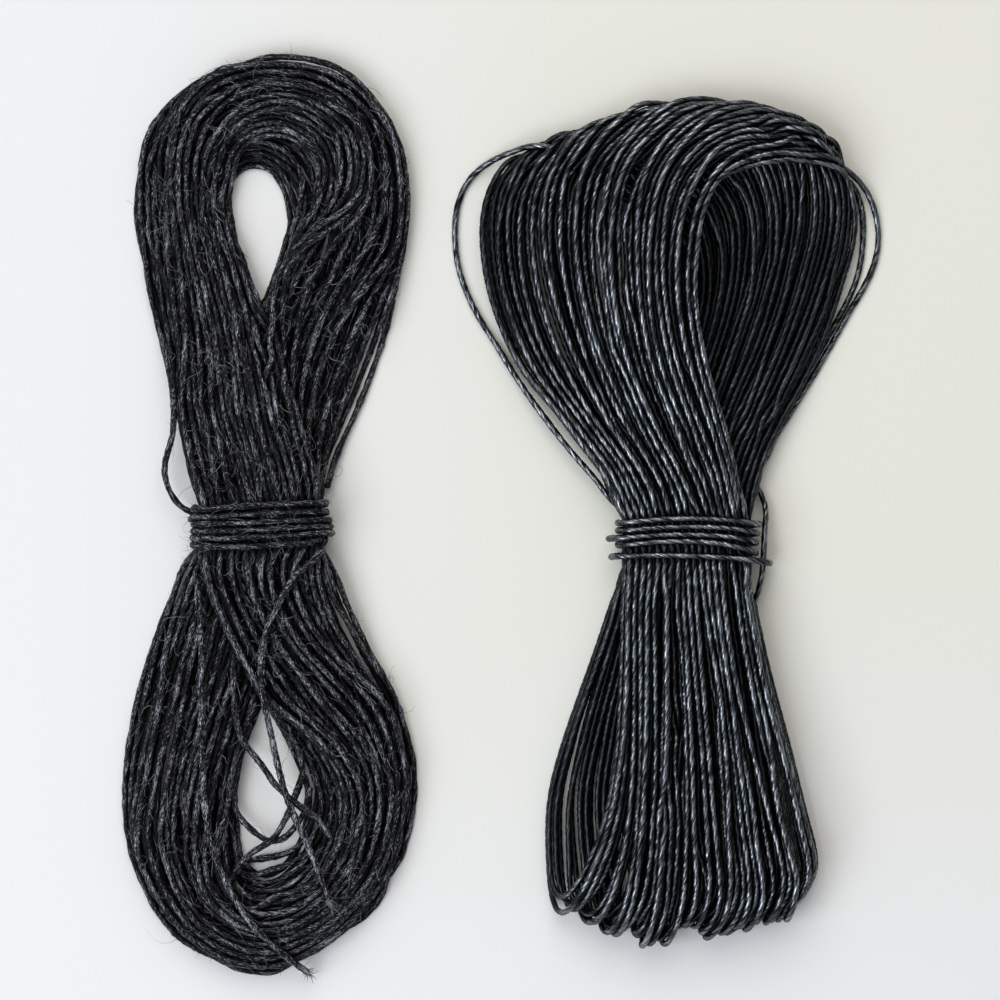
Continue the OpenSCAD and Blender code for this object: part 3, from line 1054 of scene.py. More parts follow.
@dataclass
class Hank(ABC):
    """Loops of one thread, a tie round their waist, and strands that stray.

    Attributes:
        prefix: start of the names of its pieces and nodes.
        body, slot: the body that it rides on, and its material slot.
        seed: start of its random draws.
        waist: x and y of the waist.
        waist_w: width of the loops inside the tie, with tie_slack left free at each side.
        tie_below, tie_reach: how far below the waist the stretch that the tie holds has its
            middle, and how far it goes both ways from there.
        layers: how many loops each layer has, from the bench up.
        split: the layers at which the lower, middle and upper pieces start and end.
        change: the share of a loop in which it goes over to the next one's place.
        loop_length: about how long a loop is.
        wild: noise that makes some loops wild, by its reach, where it starts and its span.
        stray: how far loops stray sideways, what wild ones add, and over what length.
        stray_up: the same in height.
        stray_own: how far each loop keeps to one side by itself.
        loops_hold, tie_hold: how hard they keep their place, sideways and in height.
        stiffness: how strongly bends are evened out.
        thread: how the thread is drawn.
        hidden: sides and ring step of the loops that lie inside.
        shade_span: height over which the painted shade of the lowest loops fades out, or 0.
        tie, strands: the turns of the tie, and the strands that stray.
        tie_height: lowest and highest centre line of a loop inside the tie.
    """

    prefix: str
    body: Body
    slot: str
    seed: int
    waist: tuple[float, float]
    waist_w: float
    tie_slack: float
    tie_below: float
    tie_reach: float
    layers: tuple[int, ...]
    split: tuple[int, ...]
    change: float
    loop_length: float
    wild: tuple[float, float, float]
    stray: tuple[float, float, float]
    stray_up: tuple[float, float, float]
    stray_own: float
    loops_hold: tuple[float, float]
    tie_hold: tuple[float, float]
    stiffness: float
    thread: Thread
    hidden: tuple[int, float]
    shade_span: float
    tie: Tie
    strands: tuple[Strand, ...]
    tie_height: tuple[float, float] = (1.6, 7.35)

    @abstractmethod
    def winding(self, rng: np.random.Generator) -> Array:
        """Centre line of all loops as one thread."""

    def wildness(self, along: Array, rng: np.random.Generator) -> Array:
        """How wild the thread runs at each place, from 0 to 1: mostly 0."""
        reach, start, span = self.wild
        return smooth((wander(along, reach, rng) - start) / span)

    def limits(self, points: Array) -> Array:
        """Keeps the loops inside the tie.

        Args:
            points: points of all runs, moved in place.

        Returns:
            The same points.
        """
        from_middle = points[:, 1] - self.waist[1] + self.tie_below
        inside = (np.abs(from_middle) < self.tie_reach) & self.is_loop
        half = self.waist_w / 2 - self.tie_slack
        offset = points[:, 0] - self.waist[0]
        points[:, 0] = np.where(inside, self.waist[0] + np.clip(offset, -half, half),
                                points[:, 0])
        points[:, 2] = np.where(inside, np.clip(points[:, 2], *self.tie_height), points[:, 2])
        return points

    def runs(self) -> dict[str, Run]:
        """All stretches of the thread, settled.

        Returns:
            The stretches by name.
        """
        wound = self.winding(np.random.default_rng(self.seed))
        runs = [Run("loops", wound, *self.loops_hold),
                Run("tie", self.tie.path(self.waist), *self.tie_hold)]
        for strand in sorted(self.strands, key=lambda strand: strand.last):
            path = evenly(spline(np.array(strand.route, float)), POINT_STEP) + [*self.waist, 0]
            runs.append(Run(strand.piece, path, strand.hold, strand.hold_height, strand.weight))
        self.is_loop = np.arange(sum(len(r.path) for r in runs)) < len(wound)
        Settling(stiffness=self.stiffness, limits=self.limits).run(runs)
        return {r.name: r for r in runs}

    def build(self, finish: bpy.types.Material) -> dict[str, Run]:
        """Makes every piece of the hank.

        Args:
            finish: material of the thread.

        Returns:
            The stretches by name.
        """
        runs = self.runs()
        dress = PieceMaker(self.body, self.slot, finish, np.random.default_rng(self.seed + 1),
                           Crowd.of([run.path for run in runs.values()]))
        dress.loops(self.prefix, runs["loops"], self.thread, self.thread.coarser(*self.hidden),
                    np.array(self.split), self.layers, self.shade_span)
        dress.thread(f"{self.prefix}_tie_turns", runs["tie"], self.thread, "taut",
                     f"{self.prefix}_tie")
        for strand in self.strands:
            dress.thread(strand.piece, runs[strand.piece], self.thread, "loose", strand.node,
                         bare=strand.bare)
        return runs


# ---- the linen hank ----


@dataclass
class LinenHank(Hank):
    """A figure of eight, tied at its waist.

    The bundle is given by rows along one turn of the thread: down the front limb from the
    waist, round the lower end, up the back limb, round the top and down the front limb. A row
    has the bundle's two edges (x, y, height of its underside), its thickness, and how far the
    upper layers gather at its outer side, or at its inner side where that is negative. So the
    upper loops cross the lower ones at small angles.
    """

    prefix: str = "linen"
    body: Body = Body.LINEN
    slot: str = "linen_thread"
    seed: int = 11
    waist: tuple[float, float] = (-36.6, -0.8)
    waist_w: float = 18.6
    tie_slack: float = 0.35
    tie_below: float = 0.8
    tie_reach: float = 3.6
    layers: tuple[int, ...] = (20, 14, 11, 9)
    split: tuple[int, ...] = (0, 2, 3, 4)
    change: float = 0.045
    loop_length: float = 310.0
    wild: tuple[float, float, float] = (230.0, 0.5, 0.8)
    stray: tuple[float, float, float] = (0.036, 0.12, 34.0)
    stray_up: tuple[float, float, float] = (0.08, 0.12, 40.0)
    stray_own: float = 0.012
    loops_hold: tuple[float, float] = (0.02, 0.012)
    tie_hold: tuple[float, float] = (0.06, 0.06)
    stiffness: float = 0.55
    thread: Thread = Thread(plies=4, pitch=13.0, groove=0.08, sides=12, ring_step=0.76,
                            slub=0.08, slub_reach=1.9, lumps=0.07)
    hidden: tuple[int, float] = (8, 1.0)
    shade_span: float = 0.0
    edge_drop: float = 0.35
    points_a_loop: int = 120
    first_row: float = 15.6

    # first edge x, y, underside; second edge x, y, underside; thickness; gathering
    rows: tuple[tuple[float, ...], ...] = (
        (-45.8, -0.8, 4.6, -27.4, -0.8, 4.6, 3.0, 0.0),
        (-45.5, -9, 4.5, -25.6, -8.8, 3.8, 3.6, -0.25),
        (-41.6, -18.5, 4.1, -21.4, -18.5, 2.0, 4.4, -0.25),
        (-36.4, -28, 2.8, -16.3, -28, 0.5, 5.0, 0.0),
        (-32.6, -35, 1.2, -14.6, -35, 0.0, 5.2, 0.3),
        (-29.7, -43, 0.2, -14.3, -43.5, 0.0, 5.2, 0.45),
        (-31.4, -50.5, 0.0, -17.8, -55.5, 0.0, 5.2, 0.5),
        (-34.6, -54.2, 0.0, -26.4, -64.8, 0.0, 5.2, 0.45),
        (-37.6, -54.6, 0.0, -36.5, -69.2, 0.0, 5.2, 0.35),
        (-39.8, -52, 0.0, -47.6, -64.8, 0.0, 5.2, 0.3),
        (-40.6, -46.5, 0.0, -55.2, -54.5, 0.0, 5.2, 0.1),
        (-40.6, -41.5, 0.0, -58, -42.5, 0.0, 5.2, -0.15),
        (-38.4, -33, 0.0, -57, -31.5, 0.0, 5.2, -0.2),
        (-34.6, -24, 0.1, -53.6, -20.5, 0.0, 4.6, -0.1),
        (-30.4, -12.5, 0.8, -48.8, -8.8, 0.6, 3.6, 0.0),
        (-27.2, -0.8, 1.15, -46.2, -0.8, 1.15, 3.0, 0.0),
        (-25.2, 8, 1.0, -44, 10.5, 0.7, 3.6, -0.2),
        (-20.4, 19, 0.2, -40, 23.5, 0.1, 4.6, -0.35),
        (-16.8, 29.5, 0.0, -35.6, 34.5, 0.0, 5.2, -0.3),
        (-15, 40.5, 0.0, -32.6, 42.5, 0.0, 5.2, 0.0),
        (-14.8, 49.5, 0.0, -32.6, 48.8, 0.0, 5.2, 0.35),
        (-17.4, 60.5, 0.0, -34.8, 52, 0.0, 5.2, 0.5),
        (-25, 67.2, 0.0, -37.2, 53.3, 0.0, 5.2, 0.5),
        (-33, 69, 0.0, -39, 53.2, 0.0, 5.2, 0.45),
        (-41, 68.6, 0.0, -40.5, 52.5, 0.0, 5.2, 0.25),
        (-48, 64.8, 0.0, -41.6, 51, 0.0, 5.2, 0.0),
        (-54, 57.5, 0.0, -42.2, 48.5, 0.0, 5.2, -0.3),
        (-55.9, 48, 0.0, -42, 44.5, 0.0, 5.2, -0.4),
        (-54.8, 36.5, 0.0, -38.8, 36, 0.1, 5.0, -0.35),
        (-52.2, 25, 0.2, -34.6, 26, 1.8, 4.4, -0.2),
        (-49.6, 15.5, 1.2, -31.6, 16.5, 3.8, 3.8, 0.0),
        (-47.6, 7, 3.2, -28.8, 7, 4.5, 3.2, 0.0),
    )
    upper_rows: tuple[float, float] = (15.0, 31.5)

    tie: Tie = Tie(
        left=((10.1, 1.7), (10.1, 0.57), (10.1, -0.5), (10.1, -1.5), (10.2, -2.5),
              (10.2, -3.7)),
        right=((9.4, 2.7), (9.9, 1.3), (10.4, 0.1), (10.5, -0.9), (10.4, -1.9), (10, -3)),
        rise=(0.3, 0.1, 0, -0.1, -0.2, -0.6), start=-0.25, end=0.4,
    )
    strands: tuple[Strand, ...] = (
        Strand("linen_tie_tail_thread", "linen_tie_tail", (
            (9.8, -2.2, 7.4), (9.4, -4.3, 8.8),
            (8, -6.1, 10), (5.6, -8.2, 10.6), (3.1, -12.2, 10.6), (1.1, -16.7, 10.4),
            (0.3, -21.2, 10), (0.5, -26.2, 9.6), (1.7, -32.2, 9), (3.4, -39.7, 8.6),
            (5.4, -45.2, 8.4), (8.1, -51.2, 8.4), (10.5, -57.2, 8.2),
        ), 0.12, 0.0, 0.016, bare=True),
        Strand("linen_start_tail_thread", "linen_start_tail", (
            (-9.8, -7.8, 6.2), (-9.3, -12.2, 7.4), (-8.9, -17.2, 7.8), (-8.8, -24.2, 8.2),
            (-8.8, -31.7, 8.6), (-8.6, -36.7, 8.8), (-8.4, -41.7, 8.8), (-7.8, -46.2, 8.6),
            (-6.8, -50.7, 8.4), (-4.4, -56.2, 8.2), (-1.1, -61.2, 7.8), (2.8, -65.2, 6.8),
            (5.6, -67.5, 5.2), (6.9, -68.6, 3.8),
        ), 0.16, 0.0, 0.01, bare=True),
        Strand("linen_crest_strand_thread", "linen_crest_strand", (
            (-12, 61, 4), (-8, 66.2, 3.4),
            (-1, 70, 2.6), (3.1, 70.6, 2.9), (7.6, 70.2, 3), (11.6, 68.9, 3), (15.4, 66.1, 3),
            (18.8, 61.6, 2.9), (21.4, 55.8, 2.7), (22.2, 49.3, 2.5), (21.7, 42, 2.3),
            (20.4, 36, 2.6), (18.2, 29, 3.2),
        ), 0.12, 0.03),
        Strand("linen_side_loop_thread", "linen_side_loop", (
            (-14.8, 28, 4.2), (-13.4, 20, 4.6), (-13.2, 14.5, 4.8),
            (-13.8, 11.3, 4.6), (-14.5, 9, 4.2), (-14.6, 6.9, 3.8), (-13.8, 4.4, 3.6),
            (-12.2, 2.2, 3.6), (-9.6, 0.4, 4), (-6.4, -1.2, 4.2),
        ), 0.1, 0.05),
        Strand("linen_eye_strand_upper_thread", "linen_eye_strand_upper", (
            (-3.8, -20.4, 4.6), (-4, -24.6, 5.4), (-3.7, -29.2, 5.6), (-3.1, -32.6, 5.4),
            (-1.2, -35.4, 5.2), (0.7, -37.6, 5.4), (1.9, -39.7, 5.8), (4.4, -41.9, 6.4),
            (6.6, -43.8, 6.6), (8.4, -44.9, 6.2), (10.5, -47.8, 5.4),
        ), 0.1, 0.02, 0.01),
        Strand("linen_eye_strand_left_thread", "linen_eye_strand_left", (
            (-1.9, -31, 3), (-3.1, -35.6, 3.2), (-3.9, -39.7, 3.4), (-4.2, -43.4, 3.4),
            (-3.1, -45.3, 3.2), (-1.2, -47.2, 3), (0.7, -48.6, 3), (2.8, -48.7, 3.2),
            (5, -46.8, 3.6), (6.6, -44.3, 3.8), (7.5, -40.9, 3.6),
        ), 0.1, 0.02, 0.01),
        Strand("linen_eye_strand_right_thread", "linen_eye_strand_right", (
            (4.5, -32.6, 4.4), (5.7, -34.8, 4.4), (6.4, -37.9, 4.4), (5.6, -40.7, 4.2),
            (4.4, -44.1, 4.2), (2.8, -46.9, 4.2), (1.6, -48.7, 4.3), (-1.2, -50.3, 4.2),
            (-2.7, -51.9, 4), (-4.4, -54.3, 3.8), (-5.9, -56.6, 3.6), (-8.4, -59.2, 3.4),
        ), 0.1, 0.02, 0.01),
    )

    def lay(self, t: Array, across: Array, up: Array) -> Array:
        """Places in the bundle.

        Args:
            t: place on the way round, in rows.
            across: from 0 at the first edge to 1 at the second.
            up: height in the bundle, from 0 to 1.

        Returns:
            Centre line there, one point a row.
        """
        table = round_table(np.array(self.rows, float), t)
        first, second, thick, gather = table[:, :3], table[:, 3:6], table[:, 6], table[:, 7]
        outer = np.where((t > self.upper_rows[0]) & (t < self.upper_rows[1]), 0.0, 1.0)
        towards = np.where(gather < 0, 1 - outer, outer)
        s = towards + (across - towards) * (1 - np.abs(gather) * np.clip(up, 0, 1))
        point = first + (second - first) * s[:, None]
        dome = 1 - self.edge_drop * np.abs(2 * s - 1) ** 2.5
        point[:, 2] += THREAD_D / 2 + up * (thick - THREAD_D) * dome
        return point

    def winding(self, rng: np.random.Generator) -> Array:
        """Centre line of all loops as one thread.

        Each loop keeps its place in the bundle and changes over at the waist, under the tie.
        Slow noise makes it stray, and a few loops stray far enough to cross others. In the
        upper right limb a group of the top ones crosses the rest towards the eye, and a few
        loops bridge the lower eye.

        Args:
            rng: source of the random draws.

        Returns:
            Points of the line, one a row.
        """
        loops = sum(self.layers)
        g = np.arange(loops * self.points_a_loop) / self.points_a_loop
        t = (self.first_row + (g % 1) * len(self.rows)) % len(self.rows)
        across, up = (stairs(place, g, self.change) for place in loop_places(self.layers))
        along = g * self.loop_length
        own = stairs(rng.normal(size=loops + 1), g, self.change)
        wild = self.wildness(along, rng)
        # How freely a loop strays: 0.15 at both edges of the bundle, 1 in its middle
        inside = 0.15 + 0.85 * 4 * across * (1 - across)
        steady, more, reach = self.stray
        stray = (steady + more * wild) * wander(along, reach, rng) * inside
        stray = stray + self.stray_own * own
        crossing = smooth((up - 0.8) / 0.15) * bell(t, 18.4, 1.25) * bell(across, 0.42, 0.2)
        bridging = smooth((own - 0.9) / 0.4) * bell(t, 7.2, 1.3)
        steady, more, reach = self.stray_up
        up = up + (steady + more * wild) * wander(along, reach, rng) + 0.16 * crossing
        s = np.clip(across + stray + 0.46 * crossing, 0.0, 1.0) - 0.34 * bridging
        return evenly(self.lay(t, s, np.clip(up, 0, 1.16)), POINT_STEP)


# ---- the polyester hank ----


@dataclass
class PolyesterHank(Hank):
    """A hank whose loops roll over the top and fold under at the lower end.

    The sheet that the loops lie in is given by rows across it. A row has four points, from
    the hank's left to its right, at one stage of the way round: up the back, over the top,
    down the front and under. Catmull-Rom curves join them both ways.
    """

    prefix: str = "poly"
    body: Body = Body.POLYESTER
    slot: str = "polyester_thread"
    seed: int = 5
    waist: tuple[float, float] = (28.2, -4.2)
    waist_w: float = 19.6
    tie_slack: float = 0.4
    tie_below: float = 0.0
    tie_reach: float = 4.5
    layers: tuple[int, ...] = (31, 20, 19)
    split: tuple[int, ...] = (0, 1, 2, 3)
    change: float = 0.04
    loop_length: float = 290.0
    wild: tuple[float, float, float] = (260.0, 0.6, 0.8)
    stray: tuple[float, float, float] = (0.015, 0.022, 50.0)
    stray_up: tuple[float, float, float] = (0.38, 0.35, 42.0)
    stray_own: float = 0.008
    loops_hold: tuple[float, float] = (0.03, 0.02)
    tie_hold: tuple[float, float] = (0.1, 0.08)
    stiffness: float = 1.0
    thread: Thread = Thread(plies=3, pitch=6.2, groove=0.15, roundness=0.5, sides=12,
                            ring_step=0.7, slub=0.04, slub_reach=4.0, lumps=0.008)
    hidden: tuple[int, float] = (10, 0.9)
    shade_span: float = 4.0
    layer_height: tuple[float, float] = (-1.0, 1.0)
    points_a_row: int = 5
    own_reach: float = 0.3

    # Each row: the way outwards in degrees from level, and four points (x, y, z)
    rows: tuple[tuple[float, tuple[tuple[float, float, float], ...]], ...] = (
        (-90, ((19.3, -4.2, 2.65), (25.2, -4.2, 2.65), (31.2, -4.2, 2.65), (37.2, -4.2, 2.65))),
        (-90, ((20.5, 5, 2.4), (26.5, 5, 2.4), (32.5, 5, 2.4), (38.8, 5, 2.4))),
        (-90, ((23.5, 14, 2), (29.8, 14, 2), (36, 14, 2), (42, 14, 2))),
        (-90, ((26.5, 25, 1.8), (33.5, 25, 1.7), (40.8, 25, 1.7), (47.5, 25, 1.8))),
        (-90, ((27.5, 36, 1.9), (36.5, 36, 1.7), (44.5, 36, 1.7), (51.8, 36, 1.8))),
        (-80, ((24, 44, 2.2), (36.5, 46.5, 2.2), (46.5, 46.5, 2.4), (53.3, 45.5, 2.3))),
        (-60, ((17, 49.5, 2.5), (31.5, 54.5, 3.1), (45, 57, 4), (51.6, 53, 4))),
        (-30, ((9.5, 53.3, 2.6), (25, 60, 3.8), (39.6, 61.4, 5.4), (46.8, 55.8, 6))),
        (0, ((3.5, 54.4, 2.6), (17.6, 61.6, 4.8), (31.4, 62.8, 7), (40, 55.6, 8.2))),
        (40, ((-0.6, 52, 2.4), (12, 58, 5.2), (25, 59.5, 8), (34, 53.2, 9.4))),
        (80, ((-2.6, 47, 2), (8.6, 52, 5.4), (20.5, 53, 8.4), (30.6, 47.3, 10))),
        (90, ((-2.8, 41, 1.8), (7.8, 43, 5), (19, 43.5, 8.2), (29.4, 40.5, 10.2))),
        (90, ((-1.4, 32.5, 2), (9, 33.5, 5), (19.4, 33.5, 8), (29.2, 33, 10))),
        (90, ((2.6, 23, 2.8), (12.2, 23.5, 5.2), (21.3, 23.5, 7.4), (30.8, 23.5, 9))),
        (90, ((10, 13.8, 4), (17, 13.8, 5.6), (25, 13.8, 6.7), (33.8, 13.8, 7.3))),
        (90, ((16.3, 5.3, 5.2), (22.3, 5, 5.9), (28.8, 5, 6.2), (36, 5, 6.2))),
        (90, ((19.4, -4.2, 6.1), (25.3, -4.2, 6.1), (31.2, -4.2, 6.1), (37, -4.2, 6.1))),
        (90, ((18.8, -13, 6.2), (25.2, -13, 6.2), (31.7, -13, 6.2), (38.2, -13, 6.2))),
        (90, ((18.6, -24, 6.5), (25.4, -24, 6.6), (33, -24, 6.6), (40.2, -24, 6.5))),
        (90, ((18, -36, 6.8), (25.6, -36, 6.9), (34.5, -36, 6.9), (43.2, -36, 6.8))),
        (95, ((16.3, -46.5, 7.4), (25.5, -48, 7.7), (35.6, -48, 7.7), (45.6, -46.5, 7.4))),
        (120, ((13, -55, 7.7), (24.8, -58.4, 8.1), (36.5, -57.8, 8.1), (47, -54, 7.7))),
        (165, ((10.2, -58.9, 6.2), (23, -62.9, 6.4), (34.4, -62, 6.4), (44.8, -58.4, 6.2))),
        (200, ((8.3, -59, 3), (22, -63.3, 3), (33.4, -62.3, 3), (45.4, -58.4, 3))),
        (260, ((7.1, -54.8, 1.4), (22.5, -58.2, 1.3), (36, -57.5, 1.3), (47.9, -53.4, 1.4))),
        (270, ((7.1, -44, 1.5), (20.5, -44, 1.5), (33.8, -44, 1.5), (46, -44, 1.5))),
        (270, ((9.6, -34, 1.7), (21, -34, 1.7), (32.5, -34, 1.7), (43.6, -34, 1.7))),
        (270, ((13.8, -22, 2.1), (22.3, -22, 2.1), (31.2, -22, 2.1), (40.4, -22, 2.1))),
        (270, ((17.2, -12, 2.5), (24, -12, 2.5), (31, -12, 2.5), (38.3, -12, 2.5))),
    )
    # How much further out the top and the folded end reach, from left to right
    crest_reach: tuple[tuple[float, float], ...] = (
        (0, -0.4), (0.1, -1), (0.18, -2.4), (0.26, -3), (0.32, -2.6), (0.4, -2.4),
        (0.66, -2.5), (0.82, -1.4), (1, -1.1),
    )
    fold_reach: tuple[tuple[float, float], ...] = (
        (0, 0.6), (0.12, -0.2), (0.24, 0.8), (0.3, -0.8), (0.4, -0.8), (0.47, 2.4), (0.53, 2.4),
        (0.58, 0.4), (0.8, 0.2), (0.9, -0.4), (1, 0.6),
    )

    tie: Tie = Tie(
        left=((10.4, 3.1), (10.1, 1.9), (11.8, 0.7), (10.2, -0.3), (11.4, -2.1)),
        right=((10.8, 2.9), (10.5, 1.5), (10.3, 0.1), (10.3, -1.5), (12.4, -3.0)),
        rise=(0.9, 0.8, 0.9, 1.3, 0.5), start=-0.25, end=0.6,
    )
    strands: tuple[Strand, ...] = (
        Strand("poly_tie_lock_strand", "poly_tie_lock", (
            (6.4, 14, 0.5), (9.2, 10.8, 0.5), (11.2, 7.8, 1.1), (12.1, 4.9, 2.5),
            (11.8, 2.3, 3.6), (11.7, -1.6, 4), (11.5, -4.5, 3.8), (10.4, -8.4, 2.2),
            (8.6, -12.4, 1), (6.4, -16.6, 0.6),
        ), 0.12, 0.08, last=True),
        Strand("poly_stray_left", "poly_stray_loop_left", (
            (-4, 52, 3.4), (-12, 58.2, 3.8),
            (-20.6, 59.8, 4.4), (-23.8, 60, 3.8), (-27, 59.4, 2.8), (-30, 58, 1.6),
            (-32.6, 56, 0.8), (-34.5, 52.8, 0.5), (-35.3, 48.2, 0.5), (-34.8, 42.2, 0.5),
            (-32.6, 36.2, 0.5), (-29, 30.2, 0.7), (-25.6, 24.7, 1.4), (-22.6, 20.4, 2.2),
            (-18, 14.4, 2.8), (-12.8, 8.4, 3.2), (-7.6, 2, 3.8),
        ), 0.12, 0.06),
        Strand("poly_stray_right", "poly_stray_loop_right", (
            (10, 59.6, 5.6), (17, 60.2, 4.6),
            (23.4, 57.2, 2.6), (26.2, 55.2, 1.8), (28.2, 52.2, 1), (29.3, 47.6, 0.5),
            (28.8, 43, 0.5), (27, 38.8, 0.5), (24.4, 34.6, 0.5), (21.8, 30.4, 0.5),
            (19.2, 26, 0.5), (14.2, 17.4, 1), (9.6, 9.6, 2), (6.6, 4, 2.6),
        ), 0.12, 0.06),
        Strand("poly_stray_inner", "poly_stray_loop_inner", (
            (16, 59, 3.6), (21.6, 57.6, 2),
            (25.2, 54.8, 0.6), (26.7, 51.2, 0.5), (27, 47.2, 0.5), (26.6, 42.8, 0.5),
            (25.6, 39.2, 0.5), (22.8, 33, 0.5), (19.2, 26.4, 0.5), (14.8, 19.4, 0.5),
            (10.2, 12.4, 0.5), (7, 6.4, 0.6),
        ), 0.12, 0.06),
    )

    def sheet(self, s: Array, t: Array) -> tuple[Array, Array]:
        """Points of the sheet, and the way outwards there.

        Args:
            s: place across, from 0 at the left to 1 at the right.
            t: place on the way round, in rows.

        Returns:
            The points and the unit vectors, one a row.
        """
        table = np.array([points for _, points in self.rows], float)
        wide = np.concatenate([
            2 * table[:, :1] - table[:, 1:2], table, 2 * table[:, -1:] - table[:, -2:-1]
        ], axis=1)
        n = len(self.rows)
        row = round_table(wide, t)
        across = np.clip(s, -0.08, 1.08) * 3
        j = np.clip(np.floor(across).astype(int), 0, 2)
        weights, place = catmull_weights(across - j), np.arange(len(t))
        point = sum(weights[:, k, None] * row[place, j + k] for k in range(4))
        angles = np.array([angle for angle, _ in self.rows] + [270.0])
        outward = np.radians(np.interp(t % n, np.arange(n + 1), angles))
        return point, np.stack([np.zeros(len(t)), np.cos(outward), np.sin(outward)], axis=-1)

    def winding(self, rng: np.random.Generator) -> Array:
        """Centre line of all loops as one thread: once across the sheet and back over it.

        Slow noise makes the loops stray, most of all in the lower half, and each reaches a
        little further or less far than the next at the top and at the folded end.

        Args:
            rng: source of the random draws.

        Returns:
            Points of the line, one a row.
        """
        rows, loops = len(self.rows), sum(self.layers)
        per_loop = rows * self.points_a_row
        g = np.arange(loops * per_loop) / per_loop
        t = (g % 1) * rows
        across, up = (stairs(place, g, self.change) for place in loop_places(self.layers))
        along = g * self.loop_length
        own = stairs(rng.normal(size=loops + 1), g, self.change)
        wild = self.wildness(along, rng)
        steady, more, reach = self.stray
        looser = 1 + 1.2 * bell(t, 20, 2.6)
        s = across + (steady + more * wild) * looser * wander(along, reach, rng)
        s = s + self.stray_own * own
        low, high = self.layer_height
        steady, more, reach = self.stray_up
        layer = low + (high - low) * up + (steady + more * wild) * wander(along, reach, rng)
        point, outward = self.sheet(s, t)
        for middle, spread, reaches in ((22.5, 1.9, self.fold_reach),
                                        (8.6, 2.0, self.crest_reach)):
            further = np.interp(s, *zip(*reaches)) + self.own_reach * own
            point[:, 1] += bell(t, middle, spread) * further
        return evenly(point + outward * layer[:, None], POINT_STEP)


# ---- making pieces ----


@dataclass
class PieceMaker:
    """Makes a hank's pieces, rides each on its body and hides the CAD node it stands for.

    Attributes:
        body, slot: the body that they ride on, and a material slot name, which is not used.
        finish: their material.
        rng: source of the noise on the thread.
        crowd: where the hank's thread lies, for the painted shade between threads.
        shade_floor, shade_least: height up to which low loops get the deepest painted shade,
        and the share of pale wax and gloss that they keep there.
        bare_exposure: how much the painted shade is lifted on a loose end, as a factor.
    """

    body: Body
    slot: str
    finish: bpy.types.Material
    rng: np.random.Generator
    crowd: Crowd
    shade_floor: float = 2.7
    shade_least: float = 0.12
    bare_exposure: float = 1.5

    def loops(self, hank: str, run: Run, thread: Thread, hidden: Thread, split: Array,
              layers: Sequence[int], shade_span: float = 0.0) -> None:
        """All loops of a hank as three pieces: lower, middle and upper layers.

        Args:
            hank: start of the pieces' names.
            run: the whole winding.
            thread: how the middle and upper loops are drawn.
            hidden: how the lower ones are.
            split: the layers at which the pieces start and end.
            layers: how many loops each layer has.
            shade_span: height over which their painted shade fades out, or 0 for none.
        """
        loops = np.concatenate([[0], np.cumsum(layers)])[split]
        at = np.round(len(run.path) * loops / loops[-1]).astype(int)
        parts = (("lower", "inner", hidden), ("middle", "outer", thread),
                 ("upper", "outer", thread))
        for (part, node, drawn), i, j in zip(parts, at, at[1:]):
            self.thread(f"{hank}_loops_{part}", Run(run.name, run.path[max(0, i - 1):j]), drawn,
                        "coiled", f"{hank}_{node}_loops", shade_span=shade_span)

    def thread(self, name: str, run: Run, thread: Thread, lay: str, node: str,
               bare: bool = False, shade_span: float = 0.0) -> None:
        """One stretch of thread as a piece.

        Args:
            name: the piece's name.
            run: its settled centre line.
            thread: how the thread is drawn.
            lay: how it lies; not used.
            node: the CAD node that it stands for.
            bare: whether its far end is a cut end and not the hank.
            shade_span: height in millimetres over which its painted shade fades out, or 0 for
                none.
        """
        path = finer(run.path, thread.ring_step)
        full, rings, along = thread.surface(path, self.rng)
        piece = tube_skin(rings, along).to_object(name, self.finish)
        # Painted shade: less pale wax and gloss on crowded or low faces, more on a loose end
        least = self.shade_least
        height = (full[:, 2] - self.shade_floor) / shade_span if shade_span else np.ones(len(full))
        height_exposure = (least + (1 - least) * smooth(height)) * (self.bare_exposure if bare else 1.0)
        painted_exposure = self.crowd.painted_exposure(full, rings) * height_exposure[:, None]
        layer = piece.data.attributes.new("PaintedExposure", "FLOAT", "POINT")
        layer.data.foreach_set("value", painted_exposure.astype(np.float32).ravel())
        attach(piece, self.body.value)
        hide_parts(node)
        LOG.info("%s: %.0f mm of thread, %d faces", name, path_length(full),
                 len(piece.data.polygons))


